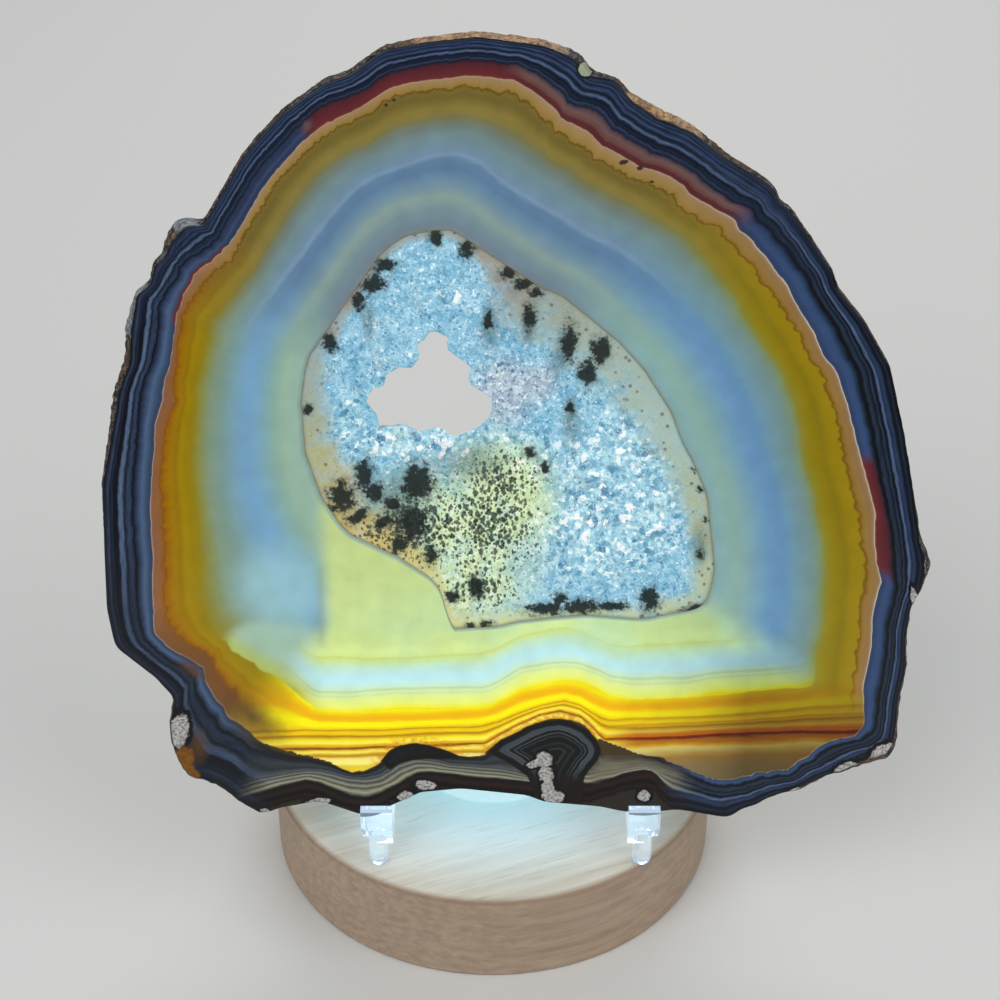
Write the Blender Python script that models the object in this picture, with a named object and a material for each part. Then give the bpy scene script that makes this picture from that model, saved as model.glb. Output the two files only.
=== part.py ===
# A slice of banded agate on a clear easel, standing on a round wooden lamp base.
# The origin is the middle of the base's underside, +Z is up and the sawn front of the slice faces -Y.
# Sizes below are in millimetres and become metres where a mesh is made.

import math

import bmesh
import bpy
import numpy as np

MM = 0.001
GAP = 0.3  # left between pieces that touch
SEED = 41

# Wooden base, turned on its own axis
BASE_RADIUS = 50.0
BASE_HEIGHT = 22.0
BASE_EDGE = 0.8
LAMP_RADIUS = 20.0
LAMP_DEPTH = 3.0
BASE_SEGMENTS = 112
LAMP_SEGMENTS = 72

# How the slice stands: the foot of its front face, and how far it leans back
SLAB_FOOT_Y = -37.5
SLAB_FOOT_Z = BASE_HEIGHT + 13.0
SLAB_LEAN = math.radians(15.0)
SLAB_THICK = 7.0
HOLLOW_DEPTH = 4.2  # the hollow's floor lies this far in from the front face
HOLLOW_DRAFT = 1.2  # how far the hollow's wall slopes in on the way down
MIDDLE = (-10.0, 88.5)  # every ring of the slice is walked round this point
RING = 240  # points on each ring of the slice, twice those of the crust

# Outline of the slice seen square on, across and up its front face, clockwise from the left shoulder
OUTLINE = [
    (-71, 103), (-68.5, 109.5), (-67, 110.5), (-65.5, 112), (-65, 115), (-63, 117), (-62, 120.5), (-60.5, 123),
    (-59, 123.5), (-55, 123), (-47, 135.5), (-39, 144), (-31, 149.5), (-26.5, 151), (-20, 155.5), (-12, 157),
    (-2.5, 158), (9.5, 156.5), (15.5, 154.5), (17.5, 153), (18.5, 151), (23.5, 149.5), (26.5, 146.5), (30, 145),
    (38.5, 140.5), (52, 131), (54, 129), (54.5, 127), (56.5, 126), (61, 120), (65.5, 113.5), (66.5, 110.5),
    (77.5, 95), (86, 59.5), (88.5, 53.5), (86, 47), (85, 45.5), (84.5, 38.5), (85, 31), (84, 25), (84, 14.5),
    (83.5, 12), (73, 8), (70.5, 8), (65.5, 4.5), (63.5, 3.5), (61, 4), (59.5, 3), (57.5, 3), (56.5, 1.5), (52, 0),
    (50, -2), (39, 0), (35.5, -0.5), (32, -1), (27, -0.5), (23, 0.5), (11, 1.5), (7.5, 3), (-6.5, 4.5), (-16, 3.5),
    (-16.5, 2.5), (-19.5, 1.5), (-24, -1), (-27.5, -1.5), (-35.5, 1.5), (-38, 1.5), (-45.5, 0), (-48, -1.5),
    (-52.5, 1), (-57, 5), (-62, 7), (-63, 6.5), (-65, 9.5), (-66.5, 14), (-67, 21), (-65.5, 23), (-66, 25.5),
    (-68.5, 29.5), (-76.5, 36.5), (-77, 38), (-78, 45), (-77.5, 71), (-74, 90), (-71.5, 96.5),
]

# Edge of the hollow and edge of the hole through it, on the same axes
HOLLOW = [
    (-11, 121.5), (-7.5, 121.5), (-5, 120), (9.5, 110.5), (13.5, 109), (24.5, 100), (29.5, 94.5), (35, 86),
    (37, 80.5), (40, 75), (42.5, 69), (44.5, 53.5), (43.5, 48), (42.5, 46), (40.5, 45), (37, 44.5), (30.5, 43),
    (18.5, 44), (13.5, 43.5), (5, 42.5), (1.5, 41.5), (-8.5, 41), (-10, 49), (-12.5, 52), (-19, 56.5), (-28, 61),
    (-30, 63), (-33.5, 68.5), (-36.5, 78), (-37, 88), (-36, 94.5), (-35, 97.5), (-21.5, 116.5), (-18.5, 119),
    (-16, 120.5),
]
HOLE = [
    (-12, 101.5), (-10.5, 101.5), (-8.5, 100.5), (-8.5, 98), (-4, 94.5), (-4.5, 92.5), (-4, 91), (0, 88.5), (0, 86),
    (-0.5, 84.5), (-2.5, 82.5), (-6, 81), (-7.5, 80.5), (-10.5, 82.5), (-14, 81.5), (-17, 83), (-18.5, 82.5),
    (-20.5, 82.5), (-22.5, 81.5), (-22, 83), (-22.5, 85), (-24.5, 87.5), (-24, 89), (-23, 90.5), (-22, 90.5),
    (-21, 91), (-20.5, 93), (-18, 94.5), (-15.5, 94.5), (-14, 96.5), (-14.5, 99), (-13, 100),
]

# Rough rind that shows round the sawn face: (degrees clockwise from the top, width)
RIND = [
    (0, 0.9), (18, 1.0), (22, 1.4), (28, 0.4), (32, 1.0), (37, 2.0), (42, 1.2), (50, 0.8), (60, 0.5), (100, 0.5),
    (106, 0.8), (109, 2.2), (112, 0.8), (120, 1.0), (127, 1.4), (131, 3.0), (135, 1.2), (138, 1.8), (141, 0.7),
    (160, 0.8), (185, 0.9), (200, 0.8), (212, 1.3), (220, 1.3), (224, 0.5), (245, 0.5), (256, 0.8), (268, 1.6),
    (284, 1.8), (290, 0.7), (297, 0.9), (304, 2.4), (308, 0.7), (330, 0.6), (345, 0.8), (360, 0.9),
]

# Rim from front to back: (depth in from the front, how far inside the outline, height of its lumps)
RIM = [(0.9, 0.25, 0.25), (2.6, 0.1, 0.35), (4.4, 0.2, 0.45), (6.0, 0.5, 0.4), (SLAB_THICK, 1.4, 0.3)]

# Crystal crust in the hollow
CRUST_RINGS = 20
CRUST_EDGE_DEPTH = 0.5
CRUST_HOLE_DEPTH = 2.3
CRYSTALS = 210
CRYSTAL_SIDES = 5
CRYSTAL_HEIGHT = (0.8, 2.1)
CRYSTAL_SLOPE = (0.5, 1.0)
CRUST_BACK = HOLLOW_DEPTH - GAP
CRUST_REACH = 1.6  # how far the crust stands past the floor at the hole

# Clear easel: two splayed side frames and a bar between them
FOOT_X = (-24.0, 31.5)
FOOT_Y = -37.9
FOOT_RADIUS = 2.0
FOOT_HEIGHT = 7.6  # underside of the side frames, above the base
SPLAY = math.radians(28.0)
FRAME_THICK = 2.2
FRAME_Y = -34.0
BLOCK_WIDTH = 6.5
BLOCK_FRONT_Y = -40.3
BLOCK_BACK_Y = -28.5
LIP_BACK_Y = -38.3
LEDGE_TOP = 9.6  # above the base
LIP_TOP = 16.0
BLOCK_CORNER = 2.2
REAR_FOOT_AT = 34.0
FRAME_OUTLINE = [
    (-3.8, 7.6), (36.5, 7.6), (38.0, 9.5), (34.0, 70.0), (32.0, 71.5), (24.0, 71.5), (22.7, 70.0), (4.5, 10.0),
    (4.5, 9.4), (-3.8, 9.4),
]
FRAME_OPENING = [(14.6, 14.5), (31.2, 14.5), (28.8, 54.0), (26.6, 55.0)]
BAR_Y = (-5.1, -2.1)
BAR_Z = (15.0, 23.0)

for old in list(bpy.data.objects):
    bpy.data.objects.remove(old, do_unlink=True)

rng = np.random.default_rng(SEED)
helpers = bpy.data.collections.new("helpers")
bpy.context.scene.collection.children.link(helpers)


def plain_material(name, colour, roughness, transmission=0.0, ior=1.45):
    material = bpy.data.materials.new(name)
    material.use_nodes = True
    shader = material.node_tree.nodes["Principled BSDF"]
    shader.inputs["Base Color"].default_value = (*colour, 1.0)
    shader.inputs["Roughness"].default_value = roughness
    shader.inputs["Transmission Weight"].default_value = transmission
    shader.inputs["IOR"].default_value = ior
    return material


def add_mesh(name, points, faces, material=None):
    mesh = bpy.data.meshes.new(name)
    mesh.from_pydata([tuple(p) for p in np.asarray(points) * MM], [], [tuple(f) for f in faces])
    work = bmesh.new()
    work.from_mesh(mesh)
    bmesh.ops.recalc_face_normals(work, faces=work.faces)
    work.to_mesh(mesh)
    work.free()
    mesh.update()
    obj = bpy.data.objects.new(name, mesh)
    if material is None:
        helpers.objects.link(obj)
        obj.hide_render = True
        obj.display_type = "WIRE"
    else:
        mesh.materials.append(material)
        bpy.context.scene.collection.objects.link(obj)
    return obj


def combine(obj, other, operation):
    modifier = obj.modifiers.new(other.name, "BOOLEAN")
    modifier.operation = operation
    modifier.solver = "EXACT"
    modifier.object = other


def turned(name, profile, segments, material=None, centre=(0.0, 0.0)):
    # A closed solid of revolution: the profile runs from the axis at the bottom to the axis at the top.
    angles = np.arange(segments) * 2 * np.pi / segments
    points = [(centre[0], centre[1], profile[0][1])]
    for radius, height in profile[1:-1]:
        ring = [(centre[0] + radius * math.cos(a), centre[1] + radius * math.sin(a), height) for a in angles]
        points.extend(ring)
    points.append((centre[0], centre[1], profile[-1][1]))
    last = len(points) - 1
    rings = len(profile) - 2
    faces = []
    for k in range(segments):
        n = (k + 1) % segments
        faces.append((0, 1 + n, 1 + k))
        for r in range(rings - 1):
            low = 1 + r * segments
            faces.append((low + k, low + n, low + segments + n, low + segments + k))
        top = 1 + (rings - 1) * segments
        faces.append((top + k, top + n, last))
    return add_mesh(name, points, faces, material)


def prism(name, outline, origin, along, up, thickness, material=None):
    # The outline lies in the plane of the two directions, with half the thickness on each side of it.
    along = np.array(along, float)
    up = np.array(up, float)
    across = np.cross(along, up)
    flat = np.array(origin, float) + np.outer([p[0] for p in outline], along) + np.outer([p[1] for p in outline], up)
    points = np.vstack([flat - across * thickness / 2, flat + across * thickness / 2])
    n = len(outline)
    faces = [tuple(range(n)), tuple(range(2 * n - 1, n - 1, -1))]
    faces += [(k, (k + 1) % n, n + (k + 1) % n, n + k) for k in range(n)]
    return add_mesh(name, points, faces, material)


def walk(points, angles):
    # Distance from MIDDLE to a closed polygon in each direction, angles clockwise from straight up.
    corners = np.array(points, float) - MIDDLE
    turn = np.arctan2(corners[:, 0], corners[:, 1]) % (2 * np.pi)
    order = np.argsort(turn)
    corners, turn = corners[order], turn[order]
    last = np.searchsorted(turn, angles, side="right") - 1
    start = corners[last % len(corners)]
    side = corners[(last + 1) % len(corners)] - start
    ray = np.stack([np.sin(angles), np.cos(angles)], 1)
    return (start[:, 0] * side[:, 1] - start[:, 1] * side[:, 0]) / (ray[:, 0] * side[:, 1] - ray[:, 1] * side[:, 0])


def ring_of(radius, angles):
    return np.stack([MIDDLE[0] + radius * np.sin(angles), MIDDLE[1] + radius * np.cos(angles)], 1)


def doubled(ring):
    # The same ring with a point halfway along each side, so that a finer ring meets it exactly.
    halfway = (ring + np.roll(ring, -1, axis=0)) / 2
    return np.stack([ring, halfway], 1).reshape(-1, 2)


def on_slab(ring, depth):
    # Across and up the leaning face, and in from it, to the object's own axes.
    depth = np.broadcast_to(depth, len(ring))
    y = SLAB_FOOT_Y + ring[:, 1] * math.sin(SLAB_LEAN) + depth * math.cos(SLAB_LEAN)
    z = SLAB_FOOT_Z + ring[:, 1] * math.cos(SLAB_LEAN) - depth * math.sin(SLAB_LEAN)
    return np.stack([ring[:, 0], y, z], 1)


def closed_rings(name, rings, material):
    # Rings of equal length joined each to the next and the last to the first: a solid with one hole through it.
    count, size = len(rings), len(rings[0])
    faces = []
    for r in range(count):
        a = r * size
        b = ((r + 1) % count) * size
        for k in range(size):
            n = (k + 1) % size
            faces.append((a + k, a + n, b + n))
            faces.append((a + k, b + n, b + k))
    return add_mesh(name, np.vstack(rings), faces, material)


def highest_crystal(ring, tips, heights, slopes, facing):
    # Each crystal is a pyramid falling away from its tip; every point takes the tallest one over it.
    away = ring[:, None, :] - tips[None, :, :]
    farthest = np.full(away.shape[:2], -np.inf)
    for k in range(CRYSTAL_SIDES):
        side = facing + k * 2 * np.pi / CRYSTAL_SIDES
        farthest = np.maximum(farthest, away[:, :, 0] * np.cos(side) + away[:, :, 1] * np.sin(side))
    return np.clip((heights - slopes * farthest).max(axis=1), -0.4, None)


# Wooden base and the lamp's window in its top
wood = plain_material("pale_wood", (0.72, 0.6, 0.46), 0.55)
turned(
    "wooden_base",
    [
        (0, 0), (BASE_RADIUS - 0.8, 0), (BASE_RADIUS - 0.2, 0.3), (BASE_RADIUS, 0.9),
        (BASE_RADIUS, BASE_HEIGHT - BASE_EDGE), (BASE_RADIUS - 0.25, BASE_HEIGHT - 0.25),
        (BASE_RADIUS - BASE_EDGE, BASE_HEIGHT), (LAMP_RADIUS, BASE_HEIGHT),
        (LAMP_RADIUS, BASE_HEIGHT - LAMP_DEPTH), (0, BASE_HEIGHT - LAMP_DEPTH),
    ],
    BASE_SEGMENTS,
    wood,
)
frosted = plain_material("frosted_window", (0.9, 0.95, 1.0), 0.5, 0.6)
window_floor = BASE_HEIGHT - LAMP_DEPTH + GAP
window_top = BASE_HEIGHT - 0.2
turned(
    "light_window",
    [
        (0, window_floor), (LAMP_RADIUS - GAP, window_floor), (LAMP_RADIUS - GAP, window_top - 0.4),
        (LAMP_RADIUS - GAP - 0.4, window_top), (0, window_top),
    ],
    LAMP_SEGMENTS,
    frosted,
)

# Agate slice: front edge, rim, back face, wall of the hole, floor of the hollow, wall of the hollow
agate = plain_material("banded_agate", (0.3, 0.38, 0.4), 0.12)
angles = np.arange(RING) * 2 * np.pi / RING
coarse = angles[::2]
outer = walk(OUTLINE, angles)
rind = np.interp(np.degrees(angles), *np.array(RIND, float).T)
rough = np.clip(rind / 1.5, 0.4, 1.6)
hollow_edge = ring_of(walk(HOLLOW, coarse), coarse)
hollow_foot = ring_of(walk(HOLLOW, coarse) - HOLLOW_DRAFT, coarse)
floor_edge = ring_of(walk(HOLE, coarse) + CRUST_REACH, coarse)
slab_rings = [on_slab(ring_of(outer - 0.25 - rind, angles), 0.0)]
for depth, inset, lump in RIM:
    bump = rng.uniform(-1.0, 0.0, RING)
    bump = (bump + np.roll(bump, 1)) / 2
    front_loss = 0.45 * rind if depth < 1.5 else 0.0
    slab_rings.append(on_slab(ring_of(outer - inset - front_loss + bump * lump * rough, angles), depth))
slab_rings.append(on_slab(doubled(floor_edge), SLAB_THICK))
slab_rings.append(on_slab(doubled(floor_edge), HOLLOW_DEPTH))
slab_rings.append(on_slab(doubled(hollow_foot), HOLLOW_DEPTH))
slab_rings.append(on_slab(doubled(hollow_edge), 0.0))
closed_rings("agate_slice", slab_rings, agate)

# Quartz crust: crystals from the hollow's edge down to the hole, then a plain back over the floor
quartz = plain_material("quartz_crystals", (0.72, 0.84, 0.92), 0.08, 0.3, 1.54)
edge_radius = walk(HOLLOW, coarse) - 0.55
hole_radius = walk(HOLE, coarse)
half = len(coarse)
step = coarse[1] - coarse[0]
crust_rings = [on_slab(ring_of(edge_radius, coarse), 0.35)]
sector = walk(HOLLOW, angles) ** 2 - walk(HOLE, angles) ** 2
tip_turn = rng.choice(angles, CRYSTALS, p=sector / sector.sum()) + rng.uniform(-0.5, 0.5, CRYSTALS) * angles[1]
tip_turn = tip_turn % (2 * np.pi)
tip_in = walk(HOLE, tip_turn)
tip_out = walk(HOLLOW, tip_turn)
tips = ring_of(np.sqrt(rng.uniform(tip_in**2, tip_out**2)), tip_turn)
heights = rng.uniform(*CRYSTAL_HEIGHT, CRYSTALS)
slopes = rng.uniform(*CRYSTAL_SLOPE, CRYSTALS)
facing = rng.uniform(0.0, 2 * np.pi, CRYSTALS)
for k in range(1, CRUST_RINGS):
    share = k / CRUST_RINGS
    wander = 0.25 * rng.uniform(-1.0, 1.0, half) / CRUST_RINGS
    radius = edge_radius + (hole_radius - edge_radius) * (share + wander)
    turn = coarse + 0.2 * step * rng.uniform(-1.0, 1.0, half)
    ring = ring_of(radius, turn)
    rise = highest_crystal(ring, tips, heights, slopes, facing) * min(1.0, 0.25 + 3.0 * share)
    depth = CRUST_EDGE_DEPTH + (CRUST_HOLE_DEPTH - CRUST_EDGE_DEPTH) * share**0.6
    crust_rings.append(on_slab(ring, np.clip(depth + 0.5 - rise, 0.15, 3.2)))
crust_rings.append(on_slab(ring_of(hole_radius, coarse), CRUST_HOLE_DEPTH + rng.uniform(-0.4, 0.5, half)))
crust_rings.append(on_slab(ring_of(hole_radius + 0.25, coarse), CRUST_BACK))
crust_rings.append(on_slab(ring_of(edge_radius - HOLLOW_DRAFT + 0.05, coarse), CRUST_BACK))
closed_rings("quartz_druse", crust_rings, quartz)

# Clear easel
for side, name in zip((-1, 1), ("easel_left", "easel_right")):
    clear = plain_material(name + "_clear_plastic", (0.95, 0.98, 1.0), 0.03, 1.0, 1.49)
    x = FOOT_X[0] if side < 0 else FOOT_X[1]
    back = (side * math.sin(SPLAY), math.cos(SPLAY), 0.0)
    rise = (0.0, 0.0, 1.0)
    frame = prism(name, FRAME_OUTLINE, (x, FRAME_Y, BASE_HEIGHT), back, rise, FRAME_THICK, clear)
    opening = prism(
        name + "_opening", FRAME_OPENING, (x, FRAME_Y, BASE_HEIGHT), back, rise, FRAME_THICK + 2.0
    )
    combine(frame, opening, "DIFFERENCE")
    block_outline = [
        (BLOCK_FRONT_Y, FOOT_HEIGHT - 0.4), (BLOCK_BACK_Y, FOOT_HEIGHT - 0.4), (BLOCK_BACK_Y, LEDGE_TOP),
        (LIP_BACK_Y, LEDGE_TOP), (LIP_BACK_Y, LIP_TOP - 0.4), (LIP_BACK_Y - 0.4, LIP_TOP),
        (BLOCK_FRONT_Y + 0.5, LIP_TOP), (BLOCK_FRONT_Y, LIP_TOP - 0.5),
    ]
    block = prism(name + "_block", block_outline, (x, 0.0, BASE_HEIGHT), (0, 1, 0), rise, BLOCK_WIDTH)
    combine(frame, block, "UNION")
    outer_x = x + side * (BLOCK_WIDTH / 2 + 1.0)
    low = FOOT_HEIGHT - 1.4
    corner = prism(
        name + "_corner",
        [(outer_x, low), (outer_x, low + BLOCK_CORNER + 3.0), (outer_x - side * (BLOCK_CORNER + 3.0), low)],
        (0.0, (BLOCK_FRONT_Y - 1.0 + LIP_BACK_Y) / 2, BASE_HEIGHT),
        (1, 0, 0),
        rise,
        LIP_BACK_Y - BLOCK_FRONT_Y + 1.0,
    )
    combine(frame, corner, "DIFFERENCE")
    rear = np.array([x, FRAME_Y]) + REAR_FOOT_AT * np.array(back[:2])
    for tag, spot in (("front_foot", (x, FOOT_Y)), ("rear_foot", tuple(rear))):
        foot = turned(
            name + "_" + tag,
            [
                (0, BASE_HEIGHT + GAP), (FOOT_RADIUS - 0.6, BASE_HEIGHT + GAP),
                (FOOT_RADIUS - 0.15, BASE_HEIGHT + GAP + 0.25), (FOOT_RADIUS, BASE_HEIGHT + GAP + 0.8),
                (FOOT_RADIUS, BASE_HEIGHT + FOOT_HEIGHT + 1.5), (0, BASE_HEIGHT + FOOT_HEIGHT + 1.5),
            ],
            24,
            None,
            spot,
        )
        combine(frame, foot, "UNION")

# Bar between the side frames, its ends cut to their splay
clear_bar = plain_material("crossbar_clear_plastic", (0.95, 0.98, 1.0), 0.03, 1.0, 1.49)
clearance = FRAME_THICK / 2 / math.cos(SPLAY) + GAP + 0.1
bar_points = []
for z in BAR_Z:
    for y in BAR_Y:
        reach = (y - FRAME_Y) * math.tan(SPLAY)
        bar_points.append((FOOT_X[0] - reach + clearance, y, BASE_HEIGHT + z))
        bar_points.append((FOOT_X[1] + reach - clearance, y, BASE_HEIGHT + z))
bar_faces = [(0, 1, 3, 2), (4, 5, 7, 6), (0, 1, 5, 4), (2, 3, 7, 6), (0, 2, 6, 4), (1, 3, 7, 5)]
add_mesh("easel_crossbar", bar_points, bar_faces, clear_bar)
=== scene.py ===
# Dresses a slice of banded agate, the crystals in its hollow, its clear easel and its wooden lamp base.
# On the slice, lengths are millimetres across it, up its face and in from its front. Meshes are in metres.
import math

import bpy
import numpy as np
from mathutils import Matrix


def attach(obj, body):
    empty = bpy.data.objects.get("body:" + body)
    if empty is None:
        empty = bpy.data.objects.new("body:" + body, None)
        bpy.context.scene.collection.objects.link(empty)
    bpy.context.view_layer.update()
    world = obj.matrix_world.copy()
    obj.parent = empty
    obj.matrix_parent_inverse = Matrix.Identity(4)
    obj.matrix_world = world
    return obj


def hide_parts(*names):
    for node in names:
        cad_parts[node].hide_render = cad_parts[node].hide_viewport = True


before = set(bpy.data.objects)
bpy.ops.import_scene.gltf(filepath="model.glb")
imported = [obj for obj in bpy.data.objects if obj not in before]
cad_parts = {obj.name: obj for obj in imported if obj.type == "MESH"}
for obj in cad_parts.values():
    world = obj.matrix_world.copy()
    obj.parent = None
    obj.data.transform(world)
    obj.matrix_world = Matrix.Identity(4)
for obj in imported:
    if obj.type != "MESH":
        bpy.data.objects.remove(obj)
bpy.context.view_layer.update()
print("frame loaded:", sorted(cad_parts))
mm = 0.001

view = {
    "position": (0.0016, -0.3196, 0.2907),
    "pitch": 32.33,  # degrees down from level
    "focal": 1800.0,  # in picture points, on a picture 1000 points wide
    "width": 1000.0,
    "sensor": 36.0,
}

stand = {
    "footY": -37.5,  # the lower edge of the slice's front face
    "footZ": 35.0,
    "lean": 15.0,
    "middle": (-10.0, 88.5),  # every ring of the slice goes round this point of its face
}


def fromPicture(points):
    # Where the line of sight through a picture point meets the front face of the slice: across and up it.
    points = np.asarray(points, float)
    pitch = math.radians(view["pitch"])
    lean = math.radians(stand["lean"])
    eye = np.array(view["position"]) / mm
    half = view["width"] / 2
    ray = np.stack([
        points[:, 0] - half,
        view["focal"] * math.cos(pitch) + (half - points[:, 1]) * math.sin(pitch),
        (half - points[:, 1]) * math.cos(pitch) - view["focal"] * math.sin(pitch),
    ], 1)
    foot = np.array([0.0, stand["footY"], stand["footZ"]])
    normal = np.array([0.0, -math.cos(lean), math.sin(lean)])
    reach = ((foot - eye) @ normal) / (ray @ normal)
    hit = eye + ray * reach[:, None] - foot
    return np.stack([hit[:, 0], hit[:, 1] * math.sin(lean) + hit[:, 2] * math.cos(lean)], 1)


def onSlice(across, up, depth):
    # Across the face, up it and in from it, to the object's own axes in metres.
    lean = math.radians(stand["lean"])
    y = stand["footY"] + up * math.sin(lean) + depth * math.cos(lean)
    z = stand["footZ"] + up * math.cos(lean) - depth * math.sin(lean)
    return np.stack(np.broadcast_arrays(across, y, z), -1) * mm


def walk(corners, turn):
    # Distance from the middle to a closed outline, in directions measured clockwise from straight up.
    corners = np.array(corners, float) - stand["middle"]
    angle = np.arctan2(corners[:, 0], corners[:, 1]) % (2 * np.pi)
    order = np.argsort(angle)
    corners = corners[order]
    last = np.searchsorted(angle[order], turn, side="right") - 1
    start = corners[last % len(corners)]
    side = corners[(last + 1) % len(corners)] - start
    ray = np.stack([np.sin(turn), np.cos(turn)], -1)
    top = start[..., 0] * side[..., 1] - start[..., 1] * side[..., 0]
    return top / (ray[..., 0] * side[..., 1] - ray[..., 1] * side[..., 0])


def smoothWalk(corners, turn, spread):
    # The same distance, averaged over a few bearings to round the corners off.
    step = math.radians(spread)
    return sum(walk(corners, (turn + step * k) % (2 * np.pi)) for k in (-2, -1, 0, 1, 2)) / 5


def ease(low, high, value):
    # Rises smoothly from 0 at low to 1 at high.
    share = np.clip((value - low) / (high - low), 0.0, 1.0)
    return share * share * (3 - 2 * share)


def around(rows, degrees):
    # A value given at some bearings, straight lines between them, all the way round.
    rows = np.array(rows, float)
    return np.interp(degrees, rows[:, 0], rows[:, 1], period=360)


def ripple(rng, degrees, low, high, count):
    # Sum of count sine waves with low to high whole turns round the slice, scaled to about -1 to 1.
    turns = rng.integers(low, high, count)
    shift = rng.uniform(0, 2 * np.pi, count)
    waves = np.sin(np.radians(degrees)[..., None] * turns + shift)
    return waves.sum(-1) / math.sqrt(count)


def makeMesh(name, points, faces, values, material):
    # Points, faces and one number, vector or colour a point for each named attribute, as one object.
    mesh = bpy.data.meshes.new(name)
    mesh.from_pydata(points.tolist(), [], faces)
    for key, data in values.items():
        if data.ndim == 1:
            layer = mesh.attributes.new(key, "FLOAT", "POINT")
            layer.data.foreach_set("value", data.astype(np.float32))
        elif data.shape[1] == 3:
            layer = mesh.attributes.new(key, "FLOAT_VECTOR", "POINT")
            layer.data.foreach_set("vector", data.astype(np.float32).ravel())
        else:
            layer = mesh.attributes.new(key, "FLOAT_COLOR", "POINT")
            layer.data.foreach_set("color", data.astype(np.float32).ravel())
    mesh.materials.append(material)
    mesh.update()
    piece = bpy.data.objects.new(name, mesh)
    bpy.context.scene.collection.objects.link(piece)
    return piece


def ringFaces(count, size, closed):
    # Four-cornered faces between rings of equal length, and from the last ring to the first if closed.
    ring = np.arange(count if closed else count - 1)[:, None] * size
    after = (ring + size) % (count * size)
    here = np.arange(size)[None, :]
    there = (here + 1) % size
    return np.stack([ring + here, ring + there, after + there, after + here], -1).reshape(-1, 4)


# Shader helpers


def paint(code):
    # Six hex digits to linear light.
    parts = np.array([int(code[k:k + 2], 16) for k in (0, 2, 4)]) / 255
    light = np.where(parts <= 0.04045, parts / 12.92, ((parts + 0.055) / 1.055) ** 2.4)
    return (float(light[0]), float(light[1]), float(light[2]), 1.0)


def feed(socket, value):
    # Links the socket to another socket, or sets it to a number, a vector or a colour.
    if isinstance(value, bpy.types.NodeSocket):
        socket.id_data.links.new(value, socket)
    elif isinstance(value, str):
        socket.default_value = paint(value)
    else:
        socket.default_value = value


def newMaterial(name, lamp=False):
    # A node material; its glow is picked up only by light that strikes it, unless it is a lamp.
    material = bpy.data.materials.new(name)
    material.use_nodes = True
    material.cycles.emission_sampling = "AUTO" if lamp else "NONE"
    tree = material.node_tree
    return material, tree, tree.nodes["Principled BSDF"]


def nodeBeside(kind, *sources):
    # A new node in the tree of the first socket given.
    tree = next(source.id_data for source in sources if isinstance(source, bpy.types.NodeSocket))
    return tree.nodes.new(kind)


def calc(operation, first, second=0.0, clamp=False):
    # One operation on two numbers.
    node = nodeBeside("ShaderNodeMath", first, second)
    node.operation = operation
    node.use_clamp = clamp
    feed(node.inputs[0], first)
    feed(node.inputs[1], second)
    return node.outputs[0]


def times(first, second):
    # The two multiplied.
    return calc("MULTIPLY", first, second)


def plus(first, second):
    # The two added.
    return calc("ADD", first, second)


def minus(first, second):
    # The first less the second.
    return calc("SUBTRACT", first, second)


def shifted(value, by, amount):
    # The value moved by an amount times another value.
    return plus(value, times(by, amount))


def rescale(value, low, high, toLow=0.0, toHigh=1.0, kind="LINEAR"):
    # toLow where the value is low, toHigh where it is high, a straight line between, and no further.
    node = nodeBeside("ShaderNodeMapRange", value)
    node.interpolation_type = kind
    for socket, number in zip(node.inputs, (value, low, high, toLow, toHigh)):
        feed(socket, number)
    return node.outputs[0]


def mixed(share, first, second, kind="MIX"):
    # The first colour where the share is 0, the second (or its product with the first) where it is 1.
    node = nodeBeside("ShaderNodeMix", share, first, second)
    node.data_type = "RGBA"
    node.blend_type = kind
    feed(node.inputs[0], share)
    feed(node.inputs[6], first)
    feed(node.inputs[7], second)
    return node.outputs[2]


def ramped(share, stops):
    # Colours at some thousandths of the way from 0 to 1, straight blends between them.
    pairs = [stop.split() for stop in stops.split(",")]
    node = nodeBeside("ShaderNodeValToRGB", share)
    elements = node.color_ramp.elements
    for element, (place, code) in zip(elements, (pairs[0], pairs[-1])):
        element.position, element.color = int(place) / 1000, paint(code)
    for place, code in pairs[1:-1]:
        elements.new(int(place) / 1000).color = paint(code)
    feed(node.inputs[0], share)
    return node.outputs[0]


def stored(tree, name, output="Fac"):
    # What the mesh holds at each point under a name.
    node = tree.nodes.new("ShaderNodeAttribute")
    node.attribute_name = name
    return node.outputs[output]


def parted(colour):
    # The first three numbers of a colour, one output each.
    node = nodeBeside("ShaderNodeSeparateColor", colour)
    feed(node.inputs[0], colour)
    return node.outputs


def partedVector(vector):
    # Across, up and in: the three numbers of a vector, one output each.
    node = nodeBeside("ShaderNodeSeparateXYZ", vector)
    feed(node.inputs[0], vector)
    return node.outputs


def storedFour(tree, name):
    # The four numbers that a colour holds at each point, one output each.
    node = tree.nodes.new("ShaderNodeAttribute")
    node.attribute_name = name
    red, green, blue = parted(node.outputs["Color"])[:3]
    return red, green, blue, node.outputs["Alpha"]


def noise(vector, scale, detail=3.0, roughness=0.55, distortion=0.0):
    # Cloudy noise round 0.5, with scale swells for each unit of the vector.
    node = nodeBeside("ShaderNodeTexNoise", vector)
    feed(node.inputs["Vector"], vector)
    node.inputs["Scale"].default_value = scale
    node.inputs["Detail"].default_value = detail
    node.inputs["Roughness"].default_value = roughness
    node.inputs["Distortion"].default_value = distortion
    return node.outputs["Fac"]


def cells(vector, scale, output="Distance", feature="F1"):
    # Distance to the nearest of some scattered points, or to the border between two of them.
    node = nodeBeside("ShaderNodeTexVoronoi", vector)
    node.feature = feature
    feed(node.inputs["Vector"], vector)
    node.inputs["Scale"].default_value = scale
    return node.outputs[output]


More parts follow.
